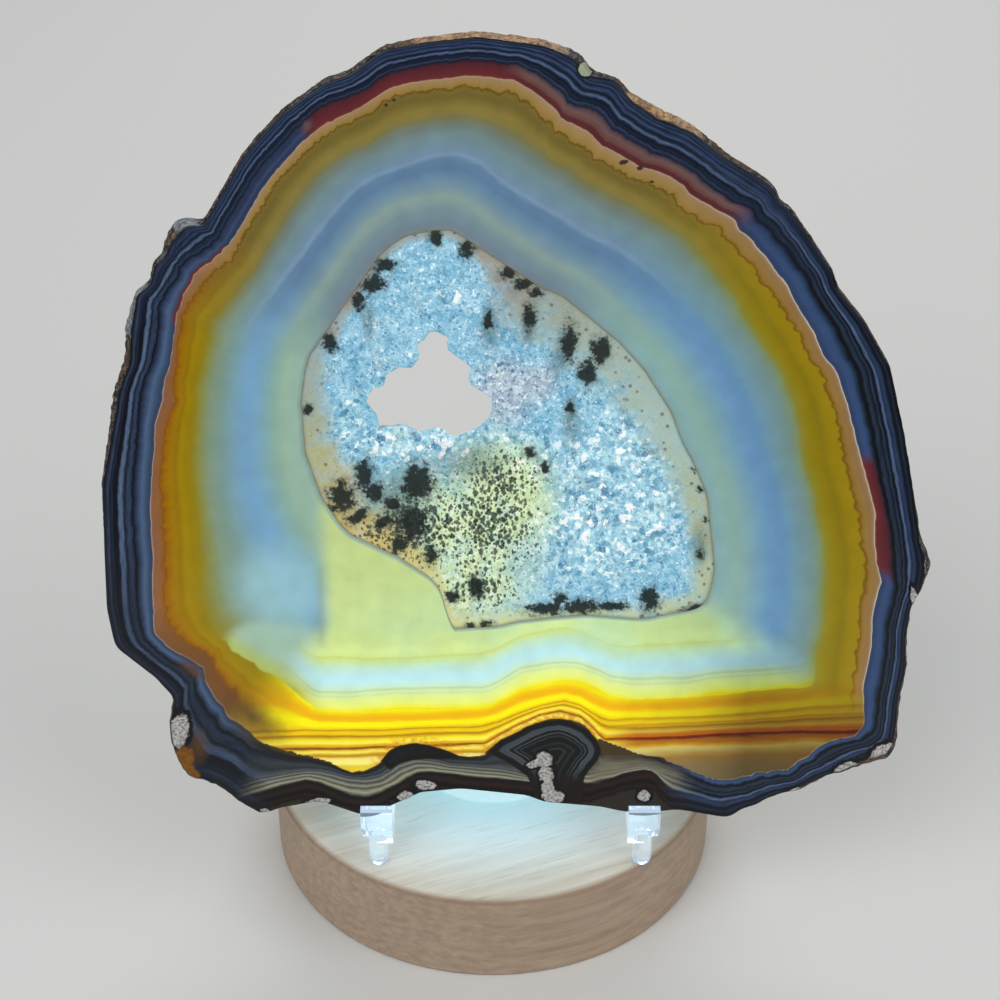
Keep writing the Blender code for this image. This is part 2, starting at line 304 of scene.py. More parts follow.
def mapped(vector, scale=(1, 1, 1), turn=(0, 0, 0)):
    # The vector scaled, then turned by degrees.
    node = nodeBeside("ShaderNodeMapping", vector)
    feed(node.inputs["Vector"], vector)
    node.inputs["Scale"].default_value = scale
    node.inputs["Rotation"].default_value = [math.radians(a) for a in turn]
    return node.outputs[0]


def objectPlace(tree):
    # The point's place on the piece, in metres.
    return tree.nodes.new("ShaderNodeTexCoord").outputs["Object"]


def bumped(shader, height, distance, strength=1.0):
    # Tilts the surface's shading by the slope of a height, which stands for distance metres.
    node = nodeBeside("ShaderNodeBump", height)
    node.inputs["Strength"].default_value = strength
    node.inputs["Distance"].default_value = distance
    feed(node.inputs["Height"], height)
    feed(shader.inputs["Normal"], node.outputs[0])


def layered(colour, layers):
    # Each layer's colour laid over what is below it, as far as its mask goes.
    for mask, over in layers:
        colour = mixed(mask, colour, over)
    return colour


def surfaced(shader, colour, glow, roughness, shine=None):
    # A colour, a glow of the same colour, a roughness and a strength of shine.
    names = ("Base Color", "Emission Color", "Emission Strength", "Roughness")
    for name, value in zip(names, (colour, colour, glow, roughness)):
        feed(shader.inputs[name], value)
    if shine is not None:
        shader.inputs["Specular IOR Level"].default_value = shine


# Camera, floor and light
studio = {
    "floorSize": 6.0,
    "floorColour": "e2e2df",
    "worldColour": "c9ccd0",
    "worldStrength": 0.42,
    "lights": [  # place, what it points at, width, watts
        ((-0.55, -0.75, 0.95), (0, 0, 0.1), 0.8, 6.5),
        ((0.7, -0.5, 0.75), (0, 0, 0.1), 0.8, 3.5),
        ((0.1, 0.9, 0.9), (0, 0, 0.1), 0.9, 5.0),
    ],
}


def makeStudio():
    # A level floor, a soft sky and three square lamps turned to the slice, and the camera.
    scene = bpy.context.scene
    lens = bpy.data.cameras.new("camera")
    lens.sensor_width = view["sensor"]
    lens.lens = view["sensor"] * view["focal"] / view["width"]
    lens.clip_start = 0.01
    eye = bpy.data.objects.new("camera", lens)
    eye.location = view["position"]
    eye.rotation_euler = (math.radians(90 - view["pitch"]), 0, 0)
    scene.collection.objects.link(eye)
    scene.camera = eye
    scene.view_settings.view_transform = "Standard"

    half = studio["floorSize"] / 2
    material, tree, shader = newMaterial("paleFloor")
    shader.inputs["Base Color"].default_value = paint(studio["floorColour"])
    shader.inputs["Roughness"].default_value = 0.85
    shader.inputs["Specular IOR Level"].default_value = 0.2
    corners = np.array([(-half, -half, 0), (half, -half, 0), (half, half, 0), (-half, half, 0)], float)
    floor = makeMesh("floor", corners, [(0, 1, 2, 3)], {}, material)

    world = bpy.data.worlds.new("softSky")
    world.use_nodes = True
    background = world.node_tree.nodes["Background"]
    background.inputs[0].default_value = paint(studio["worldColour"])
    background.inputs[1].default_value = studio["worldStrength"]
    scene.world = world
    for number, (place, target, width, watts) in enumerate(studio["lights"]):
        lamp = bpy.data.lights.new(f"softbox{number}", "AREA")
        lamp.size = width
        lamp.energy = watts
        holder = bpy.data.objects.new(f"softbox{number}", lamp)
        away = np.array(place) - np.array(target)
        holder.location = place
        flat = math.hypot(away[0], away[1])
        holder.rotation_euler = (math.atan2(flat, away[2]), 0, math.atan2(away[0], -away[1]))
        scene.collection.objects.link(holder)


makeStudio()
print("studio ready")

# Shape of the slice, in millimetres on its face, clockwise from the left shoulder
outline = [
    (-71, 103), (-68.5, 109.5), (-67, 110.5), (-65.5, 112), (-65, 115), (-63, 117), (-62, 120.5),
    (-60.5, 123), (-59, 123.5), (-55, 123), (-50.5, 130), (-47, 135.5), (-44, 139), (-39, 144),
    (-31, 149.5), (-26.5, 151), (-20, 155.5), (-12, 157), (-2.5, 158), (9.5, 156.5), (15.5, 154.5),
    (17.5, 153), (18.5, 151), (23.5, 149.5), (26.5, 146.5), (30, 145), (38.5, 140.5), (44, 136),
    (52, 131), (54, 129), (54.5, 127), (56.5, 126), (61, 120), (65.5, 113.5), (66.5, 110.5), (72, 104),
    (77.5, 95), (81, 82), (86, 59.5), (88.5, 55), (88.5, 53.5), (86, 47), (85, 45.5), (84.5, 38.5),
    (85, 31), (84, 25), (84, 14.5), (83.5, 12), (73, 8), (70.5, 8), (65.5, 4.5), (63.5, 3.5), (61, 4),
    (59.5, 3), (57.5, 3), (56.5, 1.5), (52, 0), (50, -2), (39, 0), (35.5, -0.5), (32, -1), (27, -0.5),
    (23, 0.5), (11, 1.5), (7.5, 3), (-6.5, 4.5), (-16, 3.5), (-16.5, 2.5), (-19.5, 1.5), (-24, -1),
    (-27.5, -1.5), (-35.5, 1.5), (-38, 1.5), (-45.5, 0), (-48, -1.5), (-52.5, 1), (-57, 5), (-62, 7),
    (-63, 6.5), (-65, 9.5), (-66.5, 14), (-67, 21), (-65.5, 23), (-66, 25.5), (-68.5, 29.5),
    (-76.5, 36.5), (-77, 38), (-78, 45), (-77.5, 71), (-74, 90), (-71.5, 96.5),
]
hollow = [
    (-11, 121.5), (-7.5, 121.5), (-5, 120), (9.5, 110.5), (13.5, 109), (24.5, 100), (29.5, 94.5),
    (35, 86), (37, 80.5), (40, 75), (42.5, 69), (44.5, 53.5), (43.5, 48), (42.5, 46), (40.5, 45),
    (37, 44.5), (30.5, 43), (18.5, 44), (13.5, 43.5), (5, 42.5), (1.5, 41.5), (-8.5, 41), (-10, 49),
    (-12.5, 52), (-19, 56.5), (-28, 61), (-30, 63), (-33.5, 68.5), (-36.5, 78), (-37, 88), (-36, 94.5),
    (-35, 97.5), (-21.5, 116.5), (-18.5, 119), (-16, 120.5),
]
hole = [
    (-12, 101.5), (-10.5, 101.5), (-8.5, 100.5), (-8.5, 98), (-4, 94.5), (-4.5, 92.5), (-4, 91),
    (0, 88.5), (0, 86), (-0.5, 84.5), (-2.5, 82.5), (-6, 81), (-7.5, 80.5), (-10.5, 82.5), (-14, 81.5),
    (-17, 83), (-18.5, 82.5), (-20.5, 82.5), (-22.5, 81.5), (-22, 83), (-22.5, 85), (-24.5, 87.5),
    (-24, 89), (-23, 90.5), (-22, 90.5), (-21, 91), (-20.5, 93), (-18, 94.5), (-15.5, 94.5),
    (-14, 96.5), (-14.5, 99), (-13, 100),
]
rindWidth = [  # bearing in degrees clockwise from the top, width of the rough rind in mm
    (0, 0.9), (18, 1.0), (22, 1.4), (28, 0.4), (32, 1.0), (37, 2.0), (42, 1.2), (50, 0.8), (60, 0.5),
    (100, 0.5), (106, 0.8), (109, 2.2), (112, 0.8), (120, 1.0), (127, 1.4), (131, 3.0), (135, 1.2),
    (138, 1.8), (141, 0.7), (160, 0.8), (185, 0.9), (200, 0.8), (212, 1.3), (220, 1.3), (224, 0.5),
    (245, 0.5), (256, 0.8), (268, 1.6), (284, 1.8), (290, 0.7), (297, 0.9), (304, 2.4), (308, 0.7),
    (330, 0.6), (345, 0.8),
]

agateShape = {
    "turns": 720,  # points round each ring
    "faceRings": 92,
    "faceCrowding": 0.85,  # below 1 the rings of the face lie closer together near the rim
    "backRings": 18,
    "outerSpread": 0.35,  # degrees over which the outline's corners are rounded
    "innerSpread": 0.6,  # the same for the hollow's
    "thickness": 7.0,
    "hollowDepth": 4.2,
    "hollowDraft": 1.2,  # how far the hollow's wall leans inwards on its way down
    "holeReach": 1.6,  # how far the floor of the hollow stops short of the hole
    "rim": [  # depth in from the front, how far inside the outline
        (0.3, 0.62), (0.9, 0.45), (1.7, 0.32), (2.6, 0.2), (3.5, 0.15), (4.4, 0.22), (5.2, 0.35),
        (6.0, 0.55), (6.6, 0.95), (7.0, 1.4),
    ],
    "rimLump": 0.5,  # height of the rim's lumps
    "seed": 7,
}

# Where the bands lie: bearing, then thousandths of the way from the hollow to the outline for the start
# of the gold, the scalloped line, the outer edge of the peach band and the start of the dark stripes.
# A zero means that the band is not given at that bearing.
levels = (
    "0 580 730 775 860, 5 580 735 780 860, 10 580 730 790 865, 13 0 745 795 870, 16 0 720 770 850, "
    "20 530 670 740 820, 23 0 660 715 795, 25 0 680 735 820, 27 0 655 730 830, 30 530 665 720 820, "
    "35 0 660 720 805, 40 530 655 715 800, 45 540 680 750 825, 48 0 700 755 835, 50 550 665 740 825, "
    "55 560 670 750 820, 58.5 0 710 775 865, 60 560 700 765 855, 65 560 710 775 865, 70 560 705 780 870, "
    "74 0 725 785 875, 80 540 705 760 855, 83 0 690 745 845, 85 0 700 760 845, 90 550 715 770 840, "
    "95 540 715 770 840, 100 525 710 785 840, 105 530 720 795 845, 107 0 710 770 840, "
    "109 500 680 735 810, 111 0 710 755 825, 113 545 750 810 880, 115 567 755 812 890, "
    "120 560 740 800 870, 125 540 745 790 870, 130 560 760 820 860, 133 570 760 810 845, "
    "136 570 790 860 885, 203 570 690 760 790, 206 555 700 768 800, 208 548 700 767 800, "
    "210 543 690 755 790, 212 540 670 740 780, 215 540 660 725 770, 218 583 690 750 800, "
    "220 630 720 775 830, 222 675 755 812 860, 225 680 785 842 885, 227 653 790 855 895, "
    "230 610 780 845 885, 233 560 745 790 855, 235 550 735 780 850, 240 540 705 755 830, "
    "245 535 700 755 835, 250 540 700 750 835, 255 545 700 735 825, 260 550 695 735 825, "
    "265 550 690 745 830, 270 550 650 720 835, 275 570 700 735 840, 280 560 695 720 815, "
    "283 0 0 715 800, 285 540 700 720 810, 288 0 0 735 830, 290 570 720 740 850, 293 0 740 780 870, "
    "296 0 700 755 830, 298 0 710 775 860, 300 0 695 750 840, 302 0 660 710 790, 305 500 640 700 765, "
    "307 0 710 760 830, 308 570 735 780 860, 310 570 740 775 865, 320 575 735 780 865, "
    "325 580 745 780 865, 330 590 735 780 860, 335 590 740 785 870, 339 0 735 785 885, "
    "340 580 730 770 870, 345 570 730 775 860, 348 0 720 775 845, 350 570 730 770 850, "
    "355 575 735 780 855"
)
greenLine = [  # bearing, share of the way out from the hollow
    (0, 0.175), (10, 0.165), (20, 0.14), (30, 0.13), (60, 0.13), (90, 0.15), (310, 0.165), (345, 0.18),
]
paleLine = [
    (0, 0.395), (10, 0.39), (15, 0.35), (22, 0.33), (40, 0.335), (50, 0.34), (60, 0.36), (80, 0.37),
    (120, 0.37), (240, 0.36), (300, 0.38), (340, 0.395), (350, 0.375),
]

# Level lines across the bottom, as points of the picture: top of the yellow, a brown line, a dark one and
# the end of the gold
yellowTop = [
    (180, 560), (200, 600), (208, 628), (220, 641), (239, 655), (258, 667), (279, 678), (295, 692),
    (306, 702), (312, 707), (320, 710), (350, 712), (400, 710), (450, 709), (480, 707), (490, 705),
    (500, 700), (510, 695), (520, 690), (530, 688), (550, 684), (565, 682), (580, 684), (590, 688),
    (600, 692), (610, 697), (630, 699), (660, 698), (700, 696), (750, 691), (800, 686), (815, 680),
    (900, 676),
]
brownLine = [
    (200, 734), (300, 730.5), (380, 730.5), (430, 728), (480, 726.5), (500, 722), (520, 713),
    (540, 706), (565, 701), (580, 705), (590, 712), (600, 718), (610, 721), (650, 720), (700, 718),
    (750, 715), (800, 711), (840, 708), (900, 705),
]
darkLine = [
    (200, 753), (290, 749), (350, 749), (390, 747), (445, 745), (485, 744), (500, 734), (520, 724),
    (540, 715), (560, 711), (580, 716), (590, 724), (600, 736), (605, 740), (650, 738), (700, 736),
    (740, 734), (780, 733), (850, 731), (900, 730),
]
goldEnd = [
    (250, 735), (270, 745), (290, 753), (310, 757), (330, 763), (340, 768), (352, 773), (365, 771),
    (375, 767), (385, 760), (390, 755), (395, 748), (405, 745), (415, 744.5), (425, 745.5), (435, 748),
    (445, 750.5), (450, 755), (470, 757), (485, 756), (487, 751), (500, 741), (510, 736), (520, 731),
    (530, 726), (540, 722), (550, 719.5), (560, 719), (570, 720.5), (580, 723), (590, 731), (597, 738),
    (600, 750), (605, 757), (640, 755), (660, 757), (668, 762), (680, 766), (700, 776), (710, 780),
    (725, 781), (740, 779), (760, 773), (788, 771), (800, 761), (810, 755), (820, 747), (830, 742),
    (840, 739), (855, 737),
]

# Below the gold: where the cream lines start, and the black scalloped line under them
creamTop = [
    (240, 783), (253, 780), (283, 773), (306, 770), (320, 770), (335, 773), (350, 777), (365, 778),
    (380, 775), (391, 768), (400, 762.5), (414, 758.5), (430, 759.5), (450, 764), (470, 765),
    (500, 768), (530, 775), (600, 768), (620, 766), (640, 764), (660, 768), (680, 774), (700, 782),
    (720, 786), (760, 786),
]
creamEnd = [
    (240, 800), (253, 794), (283, 785), (306, 780), (320, 783), (335, 790), (350, 795), (368, 797),
    (380, 794), (391, 788), (405, 780), (418, 773.5), (430, 772.5), (450, 774), (470, 777), (500, 779),
    (530, 782), (590, 784), (600, 780), (612, 778), (622, 774), (634, 771), (646, 769.5), (655, 772),
    (662, 782), (672, 790), (690, 796), (722, 800), (760, 799),
]
hump = [
    (487, 752), (500, 741), (515, 733.5), (530, 726), (545, 721), (560, 719), (572, 721.5), (585, 728),
    (597, 739), (601, 750), (598, 760), (590, 769), (584, 778), (583, 790), (580, 835), (530, 835),
    (534, 790), (527, 776), (516, 768), (503, 760),
]
crescent = [
    (383, 761), (391, 751.5), (400, 747), (415, 744.5), (430, 747), (445, 751.5), (457, 757),
    (440, 757.5), (425, 757), (410, 758.5), (398, 762), (390, 768),
]
greyZone = [
    (598, 757), (640, 757), (662, 764), (690, 774), (676, 780), (660, 774), (648, 766), (634, 768),
    (620, 773), (606, 778), (594, 782), (589, 778), (594, 768),
]

# Flaws of the dark rim, as ellipses on the picture: middle, half width, half height, tilt in degrees
whitePockets = [
    (179, 731, 10, 18, -12), (425, 785, 11, 5, -10), (407, 797, 9, 6, 0), (319, 802, 14, 4, 5),
    (265, 811, 5, 3, 0), (644, 796, 7, 6, 0), (885, 753, 17, 9, 25), (847, 769, 13, 7, 20),
    (799, 792, 13, 5, 10), (929, 567, 5, 9, 0), (915, 600, 4, 14, 15), (908, 674, 3, 16, 0),
    (544, 760, 9, 8, 0), (546, 774, 8, 9, 0), (548, 790, 7, 13, 0), (556, 797, 9, 6, 0),
    (534, 764, 8, 4, 20),
]
amberSpots = [(181, 765, 12, 20, -20), (192, 776, 8, 8, 0)]
brownSpots = [(198, 746, 9, 15, 0), (252, 716, 34, 13, -42), (193, 670, 16, 6, -40)]
# Pale patches of the lamp's light through the slice, painted, as the same kind of ellipses
paleLightPatches = [(290, 655, 60, 40, -6), (258, 645, 42, 30, 10)]
blueLightPatch = [(282, 588, 66, 62, 0)]
greenPebble = [(586, 69, 8, 8, 0)]
darkDots = [
    (624, 162, 6, 3, 20), (640, 168, 4, 3, 0), (394, 100, 3, 2, 0), (386, 105, 3, 2, 0),
    (652, 182, 3, 2, 0),
]


def spots(rows, across, up):
    # How deep each point lies in the nearest of some ellipses: 1 at a middle, 0 on an edge, less outside.
    best = np.full(across.shape, -4.0)
    for x, y, wide, high, tilt in rows:
        centre, side, top = fromPicture([(x, y), (x + wide, y), (x, y - high)])
        turn = math.radians(tilt)
        dx = across - centre[0]
        dy = up - centre[1]
        right = dx * math.cos(turn) + dy * math.sin(turn)
        rise = dy * math.cos(turn) - dx * math.sin(turn)
        apart = np.hypot(right / (side[0] - centre[0]), rise / (top[1] - centre[1]))
        best = np.maximum(best, 1 - apart)
    return best


def depthInside(corners, across, up):
    # How far each point lies inside a closed line of picture points, in mm; negative outside it.
    line = fromPicture(corners)
    after = np.roll(line, -1, 0)
    nearest = np.full(across.shape, 1e9)
    inside = np.zeros(across.shape, bool)
    for start, end in zip(line, after):
        side = end - start
        along = ((across - start[0]) * side[0] + (up - start[1]) * side[1]) / (side @ side)
        along = np.clip(along, 0, 1)
        apart = np.hypot(across - start[0] - along * side[0], up - start[1] - along * side[1])
        nearest = np.minimum(nearest, apart)
        crosses = (start[1] > up) != (end[1] > up)
        rise = side[1] if side[1] else 1e-9
        inside ^= crosses & (across < start[0] + side[0] * (up - start[1]) / rise)
    return np.where(inside, nearest, -nearest)


def heightOf(points, across):
    # Height on the face of a line given by picture points, at each distance across.
    line = fromPicture(points)
    order = np.argsort(line[:, 0])
    return np.interp(across, line[order, 0], line[order, 1])


def shareOf(points, degrees):
    # The same line as a share of the way from the hollow to the outline, at each bearing it spans.
    line = fromPicture(points) - stand["middle"]
    bearing = np.degrees(np.arctan2(line[:, 0], line[:, 1])) % 360
    order = np.argsort(bearing)
    turn = np.radians(degrees)
    reach = np.interp(degrees, bearing[order], np.hypot(line[:, 0], line[:, 1])[order])
    inner = smoothWalk(hollow, turn, agateShape["innerSpread"])
    return (reach - inner) / (walk(outline, turn) - inner)


def bandPlace(share, degrees):
    # The share of the way out to a place among the bands: 0 the hollow, 1 green line, 2 pale line, 3 gold,
    # 4 scalloped line, 5 outer edge of the peach, 6 first dark stripe, 7 rind, 8 the outline.
    rng = np.random.default_rng(agateShape["seed"] + 1)
    table = np.array([row.split() for row in levels.split(",")], float)
    table[:, 1:] /= 1000
    turn = np.radians(degrees)
    reach = walk(outline, turn) - walk(hollow, turn)
    steady = (smoothWalk(outline, turn, 5) - smoothWalk(hollow, turn, 5)) / reach
    knots = [around(greenLine, degrees) * steady, around(paleLine, degrees) * steady]
    for column in range(1, 5):
        given = table[:, column] > 0
        knots.append(np.interp(degrees, table[given, 0], table[given, column], period=360))
    rind = 1 - (0.25 + around(rindWidth, degrees)) / reach
    water = ease(127, 131, degrees) * (1 - ease(204, 210, degrees))
    top = shareOf(yellowTop, degrees)
    end = shareOf(goldEnd, degrees)
    jitter = 0.004 * ripple(rng, degrees, 60, 150, 6) + 0.003 * ripple(rng, degrees, 150, 320, 6)
    knots[0] = knots[0] * (1 - water) + water * np.minimum(knots[0], 0.4 * top)
    knots[1] = knots[1] * (1 - water) + water * np.minimum(knots[1], 0.8 * top)
    knots[2] = knots[2] * (1 - water) + water * top
    knots[4] = knots[4] * (1 - water) + water * end
    knots[3] = knots[3] * (1 - water) + water * (top + end) / 2
    knots[5] = knots[5] * (1 - water) + water * (end + 0.02)
    steps = [np.full(degrees.shape, -1.0), np.zeros(degrees.shape)]
    steps += [knots[0], knots[1], knots[2], knots[3], knots[4], knots[5]]
    steps += [rind, np.full(degrees.shape, 1.0), np.full(degrees.shape, 2.0)]
    for number, amount in ((5, 1.0), (6, 0.25), (7, 0.6)):
        steps[number] = steps[number] + amount * jitter
    for number in range(1, len(steps)):
        if number not in (1, 9, 10):
            steps[number] = np.maximum(steps[number], steps[number - 1] + 0.004)
    names = (-3.0, 0.0, 1.0, 2.0, 3.0, 4.0, 5.0, 6.0, 7.0, 8.0, 9.0)
    share = np.maximum(share, -0.999)
    place = np.full(share.shape, names[-1])
    for number in range(len(steps) - 1):
        low, high = steps[number], steps[number + 1]
        part = (share - low) / (high - low)
        inside = (share >= low) & (share < high)
        place = np.where(inside, names[number] + part * (names[number + 1] - names[number]), place)
    return place


agateZones = {  # bearings where each part starts, is full, begins to fade and ends, past 360 going on round
    "right": [(40, 78, 175, 185)],
    "left": [(175, 185, 280, 318)],
    "bottom": [(146, 156, 206, 218)],
    "maroon": [(333, 336, 415, 421), (97, 99, 111, 113)],
    "pinkish": [(10, 16, 58, 62), (330, 332, 335, 337)],
    "pale": [(302, 305, 306, 308), (281, 283, 291, 293)],
    "tan": [(355, 358, 378, 382), (30, 32, 42, 46)],
    "thinRed": [(285, 288, 305, 308)],
}
agatePlaces = {  # mm on the face
    "belowDark": (6.5, 4.3),  # the stretch below the dark line, and how much longer it is on the right
    "belowBlack": 4.6,
    "shadow": (-34.4, 0.9),  # middle and half width of the thin shadow left of the lit part
    "shadowRise": (35, 40, 52, 58),
    "foot": (-54, -44, 34, 43),  # where the cream lines start and end
    "footTop": (24, 30),
    "farRight": 26,  # where the right-hand colours of the level lines take over, 4 mm either way
}


def sector(degrees, name):
    # 1 between the full and the fading bearing of any part of a zone, easing to 0 at its ends.
    most = 0.0
    for start, full, last, end in agateZones[name]:
        turned = np.where(degrees < start, degrees + 360, degrees)
        most = np.maximum(most, ease(start, full, turned) * (1 - ease(last, end, turned)))
    return most


def span(value, start, full, last, end):
    # The same for a value that doesn't go round.
    return ease(start, full, value) * (1 - ease(last, end, value))


def agateMarks(across, up, degrees, band):
    # The numbers that the banded material reads at each point: how much of each zone and mark lies there,
    # how much painted lamp light, painted pale light patches and painted shadow, from bearings, from
    # heights above level lines, and from depths inside drawn shapes.
    at = agatePlaces
    farRight = ease(-4, 4, across - at["farRight"])
    water = ease(127, 133, degrees - 0.25 * (60 - across)) * (1 - ease(203, 215, degrees))
    top, line, dark = [heightOf(points, across) for points in (yellowTop, brownLine, darkLine)]
    level = np.where(up > line, 1 - (up - line) / (top - line), 1 + (line - up) / (line - dark))
    stretch = at["belowDark"][0] + at["belowDark"][1] * farRight
    level = np.where(up < dark, 2 + (dark - up) / stretch, level)
    heights = np.stack([level, up - top, band], -1)

    # Where the lamp shines through the slice: its light is painted into the colour and glow there.
    lampLitPart = ease(125, 131, degrees) * (1 - ease(228, 240, degrees))
    higher = ease(34, 43, up)
    lampLitPart = lampLitPart * ease(0, 1, (across + 44 - 7.9 * higher) / (11 - 6.0 * higher))
    middle, halfWidth = at["shadow"]
    shadow = np.exp(-((across - middle) / halfWidth) ** 2) * span(up, *at["shadowRise"])
    zone = {name: sector(degrees, name) for name in agateZones}

    gold, cream, black = [heightOf(points, across) for points in (goldEnd, creamTop, creamEnd)]
    below = np.where(up > cream, (gold - up) / (gold - cream), 1 + (cream - up) / (cream - black))
    below = np.where(up < black, 2 + (black - up) / at["belowBlack"], below)
    atFoot = span(across, *at["foot"]) * (1 - ease(*at["footTop"], up))
    inCrescent = np.minimum(1.1, depthInside(crescent, across, up) + 0.4)
    arched = np.maximum(depthInside(hump, across, up), inCrescent)
    # Among these, the pale cloud and blue patch ellipses are painted patches of the lamp's light.
    white, amber, brown, dots, lightPatches, blue, pebble = [
        spots(rows, across, up)
        for rows in (whitePockets, amberSpots, brownSpots, darkDots, paleLightPatches, blueLightPatch, greenPebble)
    ]
    colours = {
        "zones": (zone["right"], zone["left"], zone["bottom"], farRight),
        "marks": (zone["maroon"], zone["pinkish"], water, lampLitPart),
        "flaws": (white, amber, brown, dots),
        "edges": (zone["tan"], zone["pale"], np.zeros_like(up), zone["thinRed"]),
        "foot": (below, atFoot, arched, depthInside(greyZone, across, up)),
        "veils": (ease(0.0, 0.45, lightPatches), ease(0.0, 0.7, blue), shadow, pebble),
    }
    return heights, {name: np.stack(parts, -1) for name, parts in colours.items()}


def makeSlice(material):
    # Rings from the hollow's edge out over the front, round the rim, in over the back and up the wall
    # of the hollow, which the crystals cover.
    shape = agateShape
    rng = np.random.default_rng(shape["seed"])
    degrees = np.arange(shape["turns"]) * 360 / shape["turns"]
    turn = np.radians(degrees)
    inner = smoothWalk(hollow, turn, shape["innerSpread"])
    outer = smoothWalk(outline, turn, shape["outerSpread"])
    lumps = around(rindWidth, degrees)
    rough = np.clip(lumps / 1.5, 0.35, 1.5)
    edge = outer - 0.25 - lumps
    floor = walk(hole, turn) + shape["holeReach"]
    radii, depths, rinds = [], [], []
    for part in np.linspace(0, 1, shape["faceRings"]) ** shape["faceCrowding"]:
        radii.append(inner + (edge - inner) * part)
        depths.append(np.zeros_like(turn))
        rinds.append(np.zeros_like(turn))
    for depth, inset in shape["rim"]:
        bump = ripple(rng, degrees, 20, 70, 5) * 0.35 + ripple(rng, degrees, 70, 200, 7) * 0.4
        bump = bump + rng.normal(0, 0.35, len(turn))
        bump = -np.clip(0.5 + 0.5 * bump, 0, 1.6) * shape["rimLump"] * rough
        loss = 0.55 * lumps * max(0.0, 1 - depth / 1.6)
        radii.append(outer - inset - loss + bump)
        depths.append(np.full_like(turn, depth))
        rinds.append(np.ones_like(turn))
    thick = shape["thickness"]
    for part in np.linspace(0, 1, shape["backRings"] + 1)[1:]:
        radii.append(radii[len(shape["rim"]) + shape["faceRings"] - 1] * (1 - part) + floor * part)
        depths.append(np.full_like(turn, thick))
        rinds.append(np.zeros_like(turn))
    deep = shape["hollowDepth"]
    foot = inner - shape["hollowDraft"]
    for radius, depth in ((floor, deep), (foot, deep), (foot + 0.6, deep / 2)):
        radii.append(radius)
        depths.append(np.full_like(turn, depth))
        rinds.append(np.zeros_like(turn))
    radius = np.array(radii)
    depth = np.array(depths)
    bearing = np.broadcast_to(degrees, radius.shape)
    across = stand["middle"][0] + radius * np.sin(turn)
    up = stand["middle"][1] + radius * np.cos(turn)
    share = (radius - inner) / (outer - inner)
    band = bandPlace(share, bearing)
    heights, values = agateMarks(across, up, bearing, band)
    values["edges"][..., 2] = np.array(rinds)
    ring = np.stack([40 * np.sin(turn) + 0 * share, 40 * np.cos(turn) + 0 * share, share * 10], -1)
    face = np.stack([across, up, depth], -1)
    values = {name: colour.reshape(-1, 4) for name, colour in values.items()}
    for name, vector in (("heights", heights), ("ring", ring), ("face", face)):
        values[name] = vector.reshape(-1, 3)
    points = onSlice(across, up, depth).reshape(-1, 3)
    faces = ringFaces(len(radii), len(turn), True)
    piece = makeMesh("agate_slab", points, faces.tolist(), values, material)
    flat = np.abs(np.diff(depth, axis=0, append=depth[:1])) < 1e-9
    smoothed = np.repeat(flat[:, 0], len(turn))
    piece.data.polygons.foreach_set("use_smooth", smoothed)
    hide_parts("agate_slice")
    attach(piece, "root")
    return piece


